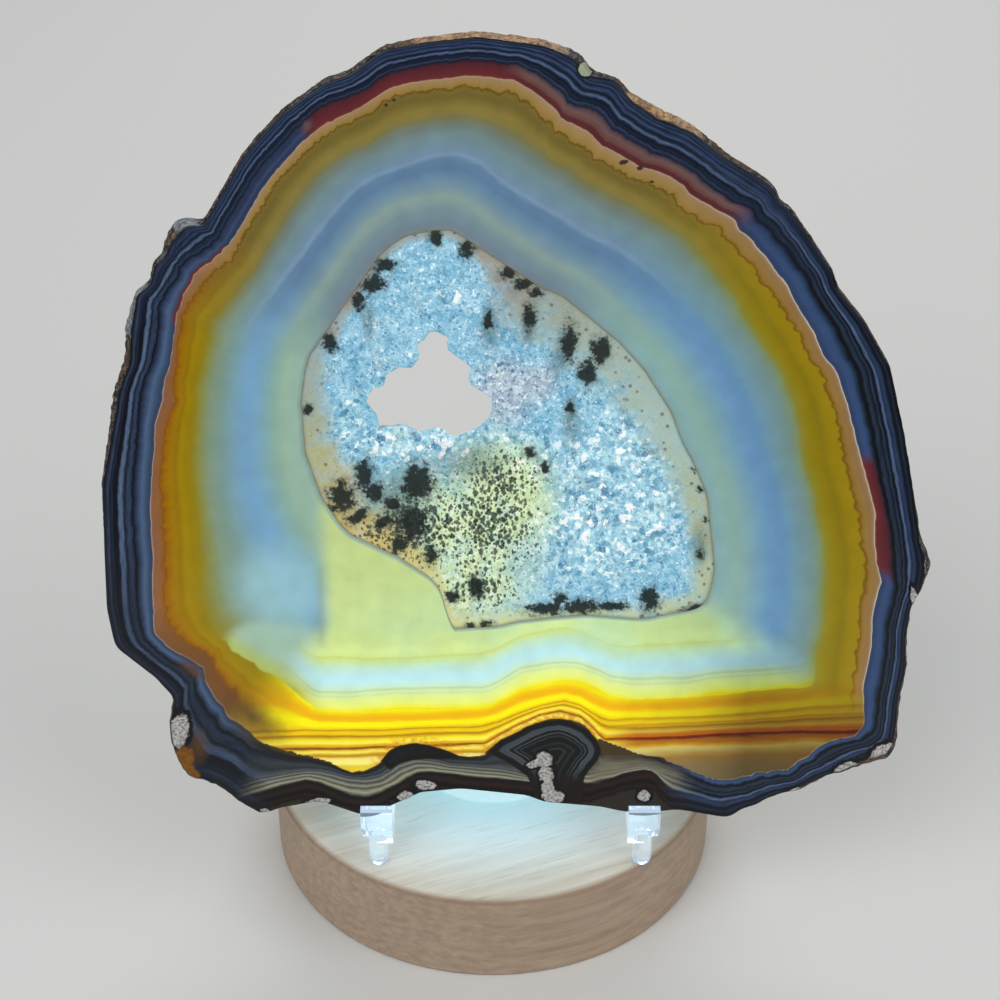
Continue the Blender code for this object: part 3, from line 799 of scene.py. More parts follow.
agateColours = {  # thousandths of the way along each stretch, and the colour there
    "innerTop": (  # from the hollow to the start of the gold, at the top
        "0 86705f, 10 78706c, 30 748490, 60 738592, 120 748c96, 200 779097, 300 869e9a, 345 89a19a, "
        "400 7a96a2, 480 6a8aa2, 550 5e7e9e, 620 6181a0, 655 7996ae, 690 728ea4, 760 718d9a, 840 738c8e, "
        "920 707e78, 1000 76764c"
    ),
    "innerRight": (
        "0 888870, 12 88a49c, 50 86abae, 150 8ab0aa, 240 8aafa4, 340 84aaaa, 420 78a2b4, 500 6c98ba, "
        "580 6692b8, 640 6692b4, 700 6e96a8, 780 72949c, 860 749190, 930 788e76, 970 7e8a52, 1000 88822e"
    ),
    "innerLeft": (
        "0 8c8868, 12 8ca498, 50 98b8a8, 200 98b8a2, 300 8cb0a4, 360 84acb0, 440 7aa8c2, 520 76a4c6, "
        "600 78a2ba, 660 7aa0a8, 740 7c9a92, 840 80967c, 900 848e5c, 960 8a8432, 1000 8e7c14"
    ),
    "centre": (  # behind the hollow, from its edge inwards
        "0 88a49e, 60 8ca8a8, 120 7c9cac, 200 98b2b4, 280 86a4b0, 360 a4b8b8, 440 90a8b4, 550 aebcc0, "
        "620 98a8b4, 750 b4bec4, 1000 a4b0b8"
    ),
    # Painted lamp light: the pale colours where the lamp shines through the slice.
    "lit": (  # height above the yellow, 0 to 30 mm
        "0 f0dc08, 12 eeea40, 40 e4ee74, 70 e0ee84, 100 daea98, 115 c8de92, 130 d0e8b0, 150 bcd29c, "
        "165 c4e6c4, 200 bee6e0, 245 b8e4ec, 300 bce2d4, 340 c2e0b0, 370 c8dc80, 385 c4d474, 400 d0e28a, "
        "440 d2e692, 500 c8dc88, 600 c2d88c, 750 c4d88c, 1000 c0d082"
    ),
    "goldTop": (  # from the gold to the scalloped line, the peach and the first dark stripe
        "0 78744c, 50 84783e, 110 867638, 200 74662c, 250 6e602e, 300 7a662a, 325 66521c, 340 6c5620, "
        "350 8e7234, 400 96783e, 500 9a7e4a, 620 9c8060, 655 ac9070, 1000 ac9070"
    ),
    "goldRight": (
        "0 88822c, 50 8c7e14, 100 8c7808, 160 82720c, 220 927a08, 280 947e0c, 315 967c0c, 330 72520a, "
        "345 7e5c14, 370 8e6a2c, 450 92723c, 560 8e6e46, 630 967a5c, 655 c8beb0, 1000 c8beb0"
    ),
    "goldLeft": (
        "0 8e7c14, 50 927a02, 120 9a7e00, 170 8e6e00, 220 987200, 270 986800, 320 8e5a04, 335 7e4a08, "
        "350 865624, 420 8a5a30, 520 865a3c, 620 825a40, 652 987c68, 660 b09884, 1000 b09884"
    ),
    "waterLeft": (  # below the top of the yellow: 1 at the first brown line, 2 at the dark one
        "0 f0e818, 30 f0d804, 70 ecc200, 120 ecb000, 170 ecb800, 200 f6dc00, 245 faf000, 280 f2dc00, "
        "310 e6c404, 330 b08400, 345 dcb400, 390 f0cc04, 420 d4a400, 440 a47800, 460 c49808, 510 f0dc20, "
        "570 f6e850, 600 e0b414, 620 dcac10, 645 945c08, 665 7c4c04, 680 d8b434, 705 f4e458, 735 c89c10, "
        "755 b08010, 780 f0dc70, 840 f0e878, 870 dcc030, 900 e8c828, 950 d8b830, 1000 b09030"
    ),
    "waterRight": (
        "0 f0e020, 30 ecd004, 70 ecbc00, 120 e8ac00, 165 ecb400, 200 f4d000, 230 f6e400, 280 f2e000, "
        "300 d8b004, 320 cca004, 345 e2be08, 385 ecce0c, 420 c89804, 440 d8ac14, 475 a4780c, 500 c09820, "
        "540 dcb040, 575 cc8c20, 600 bc7010, 630 cc6c0c, 650 903008, 672 681c04, 690 b46c20, 710 bc7804, "
        "730 d4a424, 745 dcc870, 765 c8b868, 790 b89848, 815 a48040, 850 988050, 1000 807858"
    ),
    "blueEdge": (  # between the peach and the first dark stripe
        "660 b0a48c, 675 35415c, 740 2c3a58, 800 3c4a6c, 860 2c3856, 940 2a3652, 1000 141a28"
    ),
    "blueRight": (
        "660 c0b8ac, 675 38445c, 720 30466c, 800 3c5078, 880 36507a, 950 243650, 1000 0e141c"
    ),
    "blueLeft": (
        "660 b8a088, 675 3c4660, 720 364866, 800 48607e, 835 50688a, 870 465a7c, 940 2c3c58, 1000 10161f"
    ),
    "greyEdge": (
        "660 544834, 690 3c3834, 780 34383a, 880 343c40, 1000 3c4448"
    ),
    "redEdge": (
        "660 b88c68, 675 7c4038, 700 6c2c30, 800 64282e, 930 54242e, 1000 1c1c28"
    ),
    "pinkEdge": (
        "660 a88c70, 680 5c2c2e, 750 5c2a2c, 790 6c4442, 880 745650, 940 5c4a54, 1000 20202c"
    ),
    "stripesTop": (  # from the first dark stripe through the rind to the outline
        "0 161e2e, 50 26334e, 90 2e3c5a, 120 10161f, 170 1c2840, 210 0e1420, 270 1a2436, 300 46587a, "
        "335 54668a, 370 26344c, 420 10161f, 460 223048, 500 3c4e70, 540 28385a, 590 141c2e, 630 3a4c6c, "
        "670 1a2438, 720 2c3b56, 770 10161f, 800 24282e, 840 8a7458, 900 c8a880, 1000 a08468"
    ),
    "stripesRight": (
        "0 10161f, 40 0a0e14, 90 10161f, 120 263448, 200 222e40, 240 0c1119, 290 283850, 330 10161f, "
        "380 0c1119, 400 465878, 440 566888, 470 22304c, 560 2c3e5e, 600 121926, 650 0a0e14, 700 1e2a40, "
        "750 0a0e14, 830 090b0f, 870 201e1e, 1000 3c3834"
    ),
    "stripesLeft": (
        "0 10161f, 30 0c111a, 60 24324a, 120 34445e, 180 2c3a54, 230 141c28, 260 2c3c50, 310 586c88, "
        "380 54668a, 420 101520, 500 0c0e16, 540 121826, 570 20293e, 620 161c2c, 670 38445a, 720 202a3c, "
        "790 0e1016, 860 181618, 930 302c2c, 1000 444040"
    ),
    "foot": (  # below the gold: 1 the first cream line, 2 the black scalloped line
        "0 4a3c24, 50 201e1c, 130 1e2226, 200 3c444a, 270 2c3236, 333 585e60, 360 3e464a, 400 84847a, "
        "440 40423e, 500 9a9a88, 540 4c4c44, 600 aaaa8e, 640 5c5a4e, 662 24201e, 690 0c0c0e, 720 201614, "
        "780 2c1a18, 820 140e0c, 860 0a0808, 900 281614, 950 140e0c, 1000 302a24"
    ),
    "rind": "0 0e0e10, 420 1c1a1c, 520 3c3632, 600 7c7068, 750 b8b0a8",  # from dark specks to pale ones
    "tanRind": "0 3c2c1c, 400 8c6c48, 550 d0a880, 800 f0d8b0",
    "paleRind": "0 2c3038, 400 6c747c, 600 b0b8bc, 800 d8dcdc",
    "whiteFlaw": "0 3c3a3a, 400 8a8684, 550 c8c4c0, 1000 f0eeee",
    "arches": (  # in from the edge of the hump, 0 to 8 mm
        "0 2a2010, 30 161410, 100 10120f, 150 141a1e, 175 38444c, 220 4c545c, 245 343c42, 270 545c64, "
        "300 3c4448, 325 141618, 370 16181c, 385 5c6064, 400 24282c, 440 12161a, 475 383c40, 500 0e1416, "
        "600 10140f, 660 2c3032, 700 121416, 780 1c1c18, 820 3c3c38, 860 121410, 1000 14120e"
    ),
}


agateFinish = {
    "strayInner": 0.14,  # how far the bands wander from their places
    "strayGold": 0.08,
    "strayDark": 0.1,
    "strayWater": 0.22,
    "strayFoot": 0.35,
    "dimming": (14.0, 52.0),  # mm across, where the lamp's light fails to the right
    # The glow is painted light: the lamp's light coming through the slice, which is no lamp itself.
    "glow": (0.24, 0.12),  # at the foot of the slice, and high up it
    "litGlow": 0.1,  # more in the part right over the lamp
    "polish": 0.16,
    "rindRoughness": 0.75,
    "shine": 0.25,
    "rindBump": 0.0009,
}


def agateMaterial():
    # Band colours by place among the bands, one ramp a stretch, blended from bearing to bearing.
    look = agateFinish
    material, tree, shader = newMaterial("bandedAgate")
    face = stored(tree, "face", "Vector")
    ring = stored(tree, "ring", "Vector")
    zoneRight, zoneLeft, zoneBottom, farRight = storedFour(tree, "zones")
    maroon, pinkish, water, lampLitPart = storedFour(tree, "marks")
    whiteFlaw, amberFlaw, brownFlaw, dots = storedFour(tree, "flaws")
    tanRind, paleRind, rind, thinRed = storedFour(tree, "edges")
    below, atFoot, arched, greyHere = storedFour(tree, "foot")
    lightPatches, blueLight, shadow, pebble = storedFour(tree, "veils")
    level, above, band = partedVector(stored(tree, "heights", "Vector"))
    across, up, depth = partedVector(face)
    fine = minus(noise(mapped(ring, (0.35, 0.35, 6.0)), 1.0, 4.0, 0.6), 0.5)
    streak = noise(mapped(ring, (0.5, 0.5, 18.0)), 1.0, 3.0, 0.6)
    cloud = minus(noise(face, 0.06, 3.0, 0.5), 0.5)
    grain = noise(face, 0.9, 4.0, 0.6)
    waves = minus(noise(mapped(face, (0.35, 1.2, 1.0)), 0.25, 4.0, 0.6), 0.5)
    ragged = times(minus(noise(face, 0.7, 4.0, 0.7), 0.5), 1.1)
    flecks = noise(face, 1.1, 4.0, 0.7)

    def bands(share, *names):
        # The first ramp, then the right, left and bottom ones laid over it where each zone is.
        colours = [ramped(share, agateColours[name]) for name in names]
        return layered(colours[0], zip((zoneRight, zoneLeft, zoneBottom), colours[1:]))

    def place(value, start, length):
        # How far along a stretch a value is.
        return calc("DIVIDE", minus(value, start) if start else value, length)

    # From the hollow to the gold, with the lamp's light through the slice painted as the pale part over the
    # lamp, dimming to the right and with a cooler tint higher up
    farther = rescale(across, *look["dimming"])
    farther = times(farther, farther)
    lit = ramped(place(shifted(above, cloud, 3.0), 0, 30.0), agateColours["lit"])
    lit = mixed(1.0, lit, mixed(farther, "ffffff", "b4bcc4"), "MULTIPLY")
    cool = times(rescale(above, 6.0, 10.0), rescale(cloud, -0.08, 0.14, 0.15, 0.75))
    cool = times(cool, rescale(across, -24.0, 4.0, 0.2, 1.0))
    lit = mixed(cool, lit, "b4dcb8")
    innerPlace = place(shifted(band, fine, look["strayInner"]), 0, 3.0)
    inner = bands(innerPlace, "innerTop", "innerRight", "innerLeft")
    inner = layered(inner, [
        # Painted light: pale patches of the lamp's light, the pale lamp-lit part, then a thin painted
        # shadow.
        (times(blueLight, 0.7), "9ccad2"),
        (times(lightPatches, 0.75), mixed(rescale(above, 0.5, 5.0), "b4c868", "a6c8b4")),
        (times(lampLitPart, rescale(band, 0.02, 0.1)), lit),
        (times(shadow, 0.3), "70847c"),
    ])

    # The gold, its scalloped line, the peach and what edges it
    scallops = minus(cells(mapped(ring, (1.3, 1.3, 0.0)), 1.0), 0.35)
    nearLine = rescale(calc("ABSOLUTE", minus(band, 4.0)), 0.1, 0.5, 0.2, 0.0)
    goldBand = plus(shifted(band, fine, look["strayGold"]), times(scallops, nearLine))
    goldPlace = place(goldBand, 3.0, 3.0)
    gold = bands(goldPlace, "goldTop", "goldRight", "goldLeft")
    edge = bands(goldPlace, "blueEdge", "blueRight", "blueLeft", "greyEdge")
    red = mixed(pinkish, *[ramped(goldPlace, agateColours[name]) for name in ("redEdge", "pinkEdge")])
    redHere = times(thinRed, rescale(goldPlace, 0.70, 0.76, 1.0, 0.0))
    edge = mixed(calc("MAXIMUM", maroon, redHere), edge, red)
    gold = mixed(rescale(goldPlace, 0.652, 0.664), gold, edge)

    # The level lines of the bottom
    waterPlace = place(shifted(level, waves, look["strayWater"]), 0, 3.0)
    bottomGold = [ramped(waterPlace, agateColours[name]) for name in ("waterLeft", "waterRight")]
    bottomGold = mixed(farRight, *bottomGold)
    amberEdge = times(rescale(arched, -2.6, -0.6, 0.0, 0.75), rescale(grain, 0.4, 0.6))
    bottomGold = mixed(amberEdge, bottomGold, "c87c10")
    # The painted lamp light dims to the right over the level lines as well.
    bottomGold = mixed(1.0, bottomGold, mixed(farther, "ffffff", "9c9484"), "MULTIPLY")
    lowLeft = times(rescale(across, -36.0, -48.0), rescale(up, 46.0, 36.0))
    tanned = times(lowLeft, rescale(band, 3.9, 4.1, 0.0, 0.7))
    tanned = times(tanned, rescale(band, 4.94, 5.02, 1.0, 0.0))
    gold = mixed(tanned, gold, "68441a")
    gold = mixed(times(water, rescale(band, 4.95, 5.1, 1.0, 0.0)), gold, bottomGold)

    # The dark stripes
    stripePlace = rescale(place(shifted(band, fine, look["strayDark"]), 6.0, 2.0), 0.0, 0.5, 0.0, 0.8)
    stripes = bands(stripePlace, "stripesTop", "stripesRight", "stripesLeft")
    stripes = mixed(1.0, stripes, rescale(streak, 0.3, 0.7, 0.6, 1.35), "MULTIPLY")
    lowDark = times(rescale(across, -30.0, -45.0), rescale(up, 62.0, 44.0))
    stripes = mixed(times(lowDark, 0.5), stripes, "0e161c")
    colour = mixed(rescale(band, 2.98, 3.02), inner, gold)
    colour = mixed(rescale(band, 5.98, 6.02), colour, stripes)

    # Cream and black lines below the gold, the grey patch and the ringed hump
    footPlace = place(shifted(below, waves, look["strayFoot"]), 0, 3.0)
    footMask = times(atFoot, rescale(band, 4.98, 5.02))
    greyMask = times(footMask, rescale(shifted(greyHere, waves, 2.0), -0.7, 1.3))
    fibre = noise(mapped(face, (0.3, 2.6, 1.0)), 1.0, 3.0, 0.6)
    arches = ramped(place(shifted(arched, waves, 1.0), 0, 8.0), agateColours["arches"])
    colour = layered(colour, [
        (footMask, ramped(footPlace, agateColours["foot"])),
        (times(greyMask, 0.9), mixed(fibre, "565044", "9a9276")),
        (rescale(shifted(arched, waves, 0.5), -0.15, 0.1), mixed(rescale(up, 11.0, 7.0), arches, "1c1410")),
    ])

    # Flaws of the dark rim, and the pebble in it
    whiteMask = rescale(plus(whiteFlaw, ragged), 0.0, 0.12)
    nearFront = rescale(depth, 1.4, 2.4, 1.0, 0.0)
    pebbleMask = times(nearFront, rescale(shifted(pebble, ragged, 0.3), 0.0, 0.15))
    colour = layered(colour, [
        (times(rescale(shifted(brownFlaw, ragged, 0.5), -0.5, 0.9), 0.9), "5c4020"),
        (rescale(plus(whiteFlaw, ragged), -0.45, -0.3), "0c0e12"),
        (rescale(plus(amberFlaw, ragged), -0.1, 0.2), mixed(grain, "2c1a08", "a86c18")),
        (whiteMask, ramped(noise(face, 1.6, 3.0, 0.7), agateColours["whiteFlaw"])),
        (rescale(plus(dots, ragged), 0.0, 0.3), "3c2c28"),
        (times(nearFront, rescale(pebble, -0.35, -0.1)), "141820"),
        (pebbleMask, mixed(grain, "98a084", "b4bc9c")),
    ])

    # The rough rind, and the bands behind the hollow
    patches = noise(face, 0.16, 3.0, 0.6)
    crust = layered(ramped(flecks, agateColours["rind"]), [
        (rescale(shifted(tanRind, ragged, 1.0), 0.3, 0.7), ramped(flecks, agateColours["tanRind"])),
        (rescale(shifted(paleRind, ragged, 1.0), 0.3, 0.7), ramped(flecks, agateColours["paleRind"])),
        (rescale(patches, 0.46, 0.6, 0.0, 0.55), mixed(flecks, "3c2818", "9c8068")),
        (rescale(patches, 0.44, 0.36, 0.0, 0.5), mixed(flecks, "1c2430", "848c94")),
    ])
    outer = rescale(shifted(band, minus(flecks, 0.5), 1.2), 7.15, 7.3)
    onRim = times(calc("MAXIMUM", rind, outer, True), minus(1.0, pebbleMask))
    centre = ramped(place(shifted(band, cloud, 0.5), 0, -3.0), agateColours["centre"])
    colour = layered(colour, [(onRim, crust), (rescale(band, -0.1, 0.12, 1.0, 0.0), centre)])
    mottle = rescale(noise(face, 0.22, 3.0, 0.5), 0.3, 0.7, 0.94, 1.05)
    colour = mixed(1.0, colour, mottle, "MULTIPLY")

    # Painted glow for the lamp's light through the body of the slice, stronger low down and over the lamp,
    # none on the rind.
    inBody = rescale(band, 4.9, 5.1, 1.0, 0.0)
    glow = plus(times(lampLitPart, look["litGlow"]), rescale(above, -6.0, 45.0, *look["glow"]))
    glow = times(glow, times(inBody, minus(1.0, onRim)))
    roughness = rescale(onRim, 0.0, 1.0, look["polish"], look["rindRoughness"])
    surfaced(shader, colour, glow, roughness, look["shine"])
    raised = calc("MAXIMUM", onRim, times(whiteMask, 0.6))
    bumped(shader, times(flecks, raised), look["rindBump"], 0.9)
    return material


makeSlice(agateMaterial())
print("slice made")

# The crystal crust
druseShape = {
    "turns": 480,
    "rings": 50,
    "edgeInset": 0.08,  # how far inside the hollow's edge the bed starts
    "edgeDepth": 0.1,
    "holeDepth": 2.3,
    "back": 3.9,
    "swell": 0.16,  # height of the bed's swellings
    "crystals": 5000,  # most crystals
    "draws": 30000,  # places tried for them
    "sides": 5,
    "size": (0.14, 0.34),  # radius of a fine crystal
    "plateSize": (0.32, 1.0),
    "height": (0.5, 1.1),  # of a crystal, for a radius of 1
    "length": (0.9, 1.9),  # of its longer side
    "cornerStray": 0.42,  # how far its corners stray from even angles, in radians
    "lean": (0.45, 1.0),  # spread and most of its tilt, in radians
    "sunk": 0.35,
    "leastDepth": 0.12,  # no tip comes nearer to the front than this
    "inMoss": 0.15,  # share of the crystals that stand where there is moss
    "inSpecks": 0.35,
    "elsewhere": 0.85,
    "seed": 23,
}
smoothBorder = [  # bearing, width in mm of the smooth zone inside the hollow's edge
    (0, 1.5), (15, 2.0), (30, 7.0), (50, 11), (90, 9.5), (105, 7.5), (120, 5), (150, 1.5), (180, 4),
    (200, 7), (230, 7), (250, 5), (270, 4.5), (300, 2.2), (330, 1.2),
]
borderColours = [  # bearing, colour of that zone
    (0, "8c9c98"), (20, "94887c"), (35, "8c8070"), (50, "8a9282"), (70, "96a89c"), (100, "9cb8b0"),
    (115, "a2ae8a"), (140, "b8c8a0"), (170, "d0d890"), (200, "ccb458"), (225, "bca44a"), (245, "a4a46c"),
    (265, "94a08c"), (290, "8c9c98"), (320, "8c8480"), (345, "8c9894"),
]

# Moss, specks, yellow, larger plates, lilac and mist, as ellipses on the picture like the flaws of the rim
mossSpots = [
    (435, 238, 6, 8, 0), (467, 250, 7, 7, 0), (385, 265, 10, 6, 0), (373, 285, 11, 8, 10),
    (358, 302, 5, 9, 0), (330, 343, 6, 9, 20), (488, 322, 4, 9, 0), (530, 318, 6, 12, 0),
    (508, 273, 8, 6, 20), (524, 284, 10, 5, 20), (536, 293, 6, 5, 0), (569, 343, 7, 18, 0),
    (601, 351, 8, 12, 0), (587, 375, 8, 11, 0), (570, 410, 4, 7, 0), (341, 499, 12, 13, 0),
    (364, 478, 8, 14, 0), (374, 494, 8, 9, 0), (417, 485, 14, 17, 0), (411, 526, 15, 16, 0),
    (431, 556, 6, 8, 0), (452, 598, 6, 5, 0), (476, 588, 7, 10, 0), (650, 600, 8, 11, 0),
    (546, 610, 18, 5, 0), (582, 607, 18, 6, 0), (612, 607, 14, 4, 0), (470, 626, 5, 3, 0),
    (486, 624, 6, 3, 0), (696, 608, 14, 3, 10), (392, 505, 8, 6, 0), (384, 524, 9, 6, 0),
    (358, 517, 12, 5, 30), (400, 546, 8, 6, 30), (308, 410, 4, 5, 0), (700, 555, 4, 5, 0),
    (706, 520, 3, 3, 0), (700, 490, 3, 3, 0), (694, 470, 3, 3, 0), (545, 470, 4, 6, 0),
    (530, 455, 5, 5, 0), (560, 600, 6, 5, 0),
]
speckleField = [
    (488, 525, 70, 72, 0), (435, 530, 60, 50, 0), (500, 484, 54, 40, 0), (400, 525, 60, 34, 30),
    (480, 590, 50, 26, 0),
]
yellowField = [(440, 560, 95, 85, -25), (500, 500, 60, 60, 0)]
plateField = [
    (625, 490, 66, 92, 8), (432, 446, 80, 20, 0), (450, 296, 16, 14, 0), (590, 545, 66, 44, 0),
    (350, 425, 14, 30, 0), (520, 465, 46, 26, 30),
]
lilacField = [(505, 394, 36, 40, 0), (535, 386, 30, 22, 20)]
mistSpots = [
    (368, 322, 9, 34, 0), (490, 330, 16, 34, 0), (571, 424, 13, 34, 0), (528, 330, 8, 26, 0),
    (470, 466, 50, 24, 0), (395, 500, 40, 34, 0), (560, 360, 14, 30, -20), (700, 545, 12, 30, 0),
]


def crustDepth(share, across, up):
    # Falls from the hollow's edge to the hole, with low swellings.
    shape = druseShape
    swell = shape["swell"] * np.sin(across * 0.9 + 1.3 * np.sin(up * 0.7))
    swell = swell * np.sin(up * 0.8 + 1.1 * np.sin(across * 0.6))
    drop = shape["edgeDepth"] + (shape["holeDepth"] - shape["edgeDepth"]) * share ** 0.6
    return drop + swell * np.clip(share * 6, 0, 1)


def crustMarks(across, up, shade):
    # The numbers and the border colour that the crystal material reads at each point.
    dx = across - stand["middle"][0]
    dy = up - stand["middle"][1]
    degrees = np.degrees(np.arctan2(dx, dy)) % 360
    reach = smoothWalk(hollow, np.radians(degrees), agateShape["innerSpread"])
    inward = reach - np.hypot(dx, dy)
    width = around(smoothBorder, degrees)
    border = 1 - ease(0.35, 1.7, inward / width)
    rimLine = 1 - ease(0.3, 0.6, inward)
    yellow = ease(-0.3, 0.5, spots(yellowField, across, up))
    lilac = ease(-0.2, 0.6, spots(lilacField, across, up))
    plates = ease(-0.15, 0.4, spots(plateField, across, up))
    mist = ease(-0.1, 0.9, spots(mistSpots, across, up))
    first = np.stack([spots(mossSpots, across, up), spots(speckleField, across, up), yellow, border], -1)
    second = np.stack([lilac, rimLine, plates, shade], -1)
    places = [row[0] for row in borderColours]
    light = np.array([paint(row[1]) for row in borderColours])
    tint = np.stack([np.interp(degrees, places, light[:, k], period=360) for k in range(3)] + [mist], -1)
    return first, second, tint


def makeCrust(material):
    # A ring-shaped bed from the hollow's edge to the hole, closed behind, with pointed crystals standing
    # on it: each is a ring of corners sunk in the bed, a slightly smaller ring above it, and a tip.
    shape = druseShape
    rng = np.random.default_rng(shape["seed"])
    degrees = np.arange(shape["turns"]) * 360 / shape["turns"]
    turn = np.radians(degrees)
    outer = smoothWalk(hollow, turn, agateShape["innerSpread"]) - shape["edgeInset"]
    inner = walk(hole, turn)
    radii, depths = [], []
    for part in np.linspace(0, 1, shape["rings"]):
        radius = outer + (inner - outer) * part
        across = stand["middle"][0] + radius * np.sin(turn)
        up = stand["middle"][1] + radius * np.cos(turn)
        radii.append(radius)
        depths.append(crustDepth(np.full_like(turn, part), across, up))
    for radius, depth in ((inner + 0.1, 3.0), (inner + 0.25, shape["back"]), (outer - 1.15, shape["back"])):
        radii.append(radius)
        depths.append(np.full_like(turn, depth))
    radius, depth = np.array(radii), np.array(depths)
    across = (stand["middle"][0] + radius * np.sin(turn)).ravel()
    up = (stand["middle"][1] + radius * np.cos(turn)).ravel()
    bedFaces = ringFaces(len(radii), len(turn), True)[:, ::-1]
    bedPoints = onSlice(across, up, depth.ravel())
    bedMarks = crustMarks(across, up, np.full_like(across, 0.5))

    count = shape["draws"]
    lowest = np.min(hollow, axis=0)
    highest = np.max(hollow, axis=0)
    spot = rng.uniform(lowest, highest, (count, 2))
    dx, dy = spot[:, 0] - stand["middle"][0], spot[:, 1] - stand["middle"][1]
    bearing = np.degrees(np.arctan2(dx, dy)) % 360
    out = walk(hollow, np.radians(bearing))
    gap = walk(hole, np.radians(bearing))
    reach = np.hypot(dx, dy)
    plates = ease(-0.15, 0.4, spots(plateField, spot[:, 0], spot[:, 1]))
    moss = spots(mossSpots, spot[:, 0], spot[:, 1])
    field = spots(speckleField, spot[:, 0], spot[:, 1])
    bare = around(smoothBorder, bearing) * rng.uniform(0.6, 1.15, count)
    keep = (reach > gap + 0.5) & (out - reach > np.maximum(bare, 1.2))
    keep &= (moss < 0.1) | (rng.random(count) < shape["inMoss"])
    keep &= (field < 0.15) | (rng.random(count) < shape["inSpecks"])
    keep &= rng.random(count) < shape["elsewhere"] - 0.55 * plates
    chosen = np.flatnonzero(keep)[:shape["crystals"]]
    spot, plates, reach, out, gap = spot[chosen], plates[chosen], reach[chosen], out[chosen], gap[chosen]
    count = len(chosen)
    small = rng.uniform(*shape["size"], count)
    large = rng.uniform(*shape["plateSize"], count)
    bigger = rng.random(count) < 0.15 + 0.6 * plates
    width = np.where(bigger, small + (large - small) * (0.35 + 0.65 * plates), small)
    height = width * rng.uniform(*shape["height"], count)
    lean = np.abs(rng.normal(0.0, shape["lean"][0], count)).clip(0, shape["lean"][1])
    side = rng.uniform(0, 2 * np.pi, count)
    axis = np.stack([np.sin(lean) * np.cos(side), np.sin(lean) * np.sin(side), np.cos(lean)], -1)
    first = np.cross(axis, rng.normal(size=(count, 3)))
    first /= np.linalg.norm(first, axis=1, keepdims=True)
    second = np.cross(axis, first)
    sides = shape["sides"]
    corner = np.arange(sides) * 2 * np.pi / sides
    corner = corner + rng.uniform(-shape["cornerStray"], shape["cornerStray"], (count, sides))
    longer = width * rng.uniform(*shape["length"], count)
    ring = first[:, None] * (longer[:, None] * np.cos(corner))[..., None]
    ring = ring + second[:, None] * (width[:, None] * 0.8 * np.sin(corner))[..., None]
    bedShare = (out - shape["edgeInset"] - reach) / (out - shape["edgeInset"] - gap)
    depthHere = crustDepth(bedShare, spot[:, 0], spot[:, 1])
    base = np.stack([spot[:, 0], spot[:, 1], -depthHere - 0.1], -1)
    body = base[:, None] + ring - (axis * shape["sunk"] * width[:, None])[:, None]
    shoulder = base[:, None] + ring * 0.9 + (axis * (height * 0.6)[:, None])[:, None]
    tip = base + axis * height[:, None] * 0.8
    points = np.concatenate([body, shoulder, tip[:, None]], 1)
    points[..., 2] = np.minimum(points[..., 2], -shape["leastDepth"])
    shade = np.repeat(rng.random(count), points.shape[1])
    flat = points.reshape(-1, 3)
    marks = crustMarks(flat[:, 0], flat[:, 1], shade)
    here = np.arange(sides)
    there = (here + 1) % sides
    walls = np.stack([here, there, sides + there, sides + here], -1)
    cap = np.stack([sides + here, sides + there, np.full(sides, 2 * sides)], -1)
    start = len(bedPoints) + np.arange(count) * points.shape[1]
    faces = bedFaces.tolist()
    faces += (start[:, None, None] + walls).reshape(-1, 4).tolist()
    faces += (start[:, None, None] + cap).reshape(-1, 3).tolist()
    faces += (start[:, None] + here[::-1]).tolist()
    allPoints = np.vstack([bedPoints, onSlice(flat[:, 0], flat[:, 1], -flat[:, 2])])
    values = {}
    for key, low, high in zip(("crust", "zone", "border"), bedMarks, marks):
        values[key] = np.vstack([low, high])
    piece = makeMesh("crystal_crust", allPoints, faces, values, material)
    smoothed = np.zeros(len(faces), bool)
    smoothed[:len(bedFaces)] = True
    piece.data.polygons.foreach_set("use_smooth", smoothed)
    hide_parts("quartz_druse")
    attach(piece, "root")
    return piece


crustFinish = {
    # glow: an even painted glow for the lamp's light coming through the crystals
    "glow": 0.22,
    "crystalRoughness": 0.18,
    "borderRoughness": 0.35,
    "shine": 0.4,
    "bump": 0.0003,
    "speckles": ((0.8, 30, 0.3, 0.72), (1.35, -50, 0.28, 0.66)),  # cells a mm, tilt, smallest and largest
}


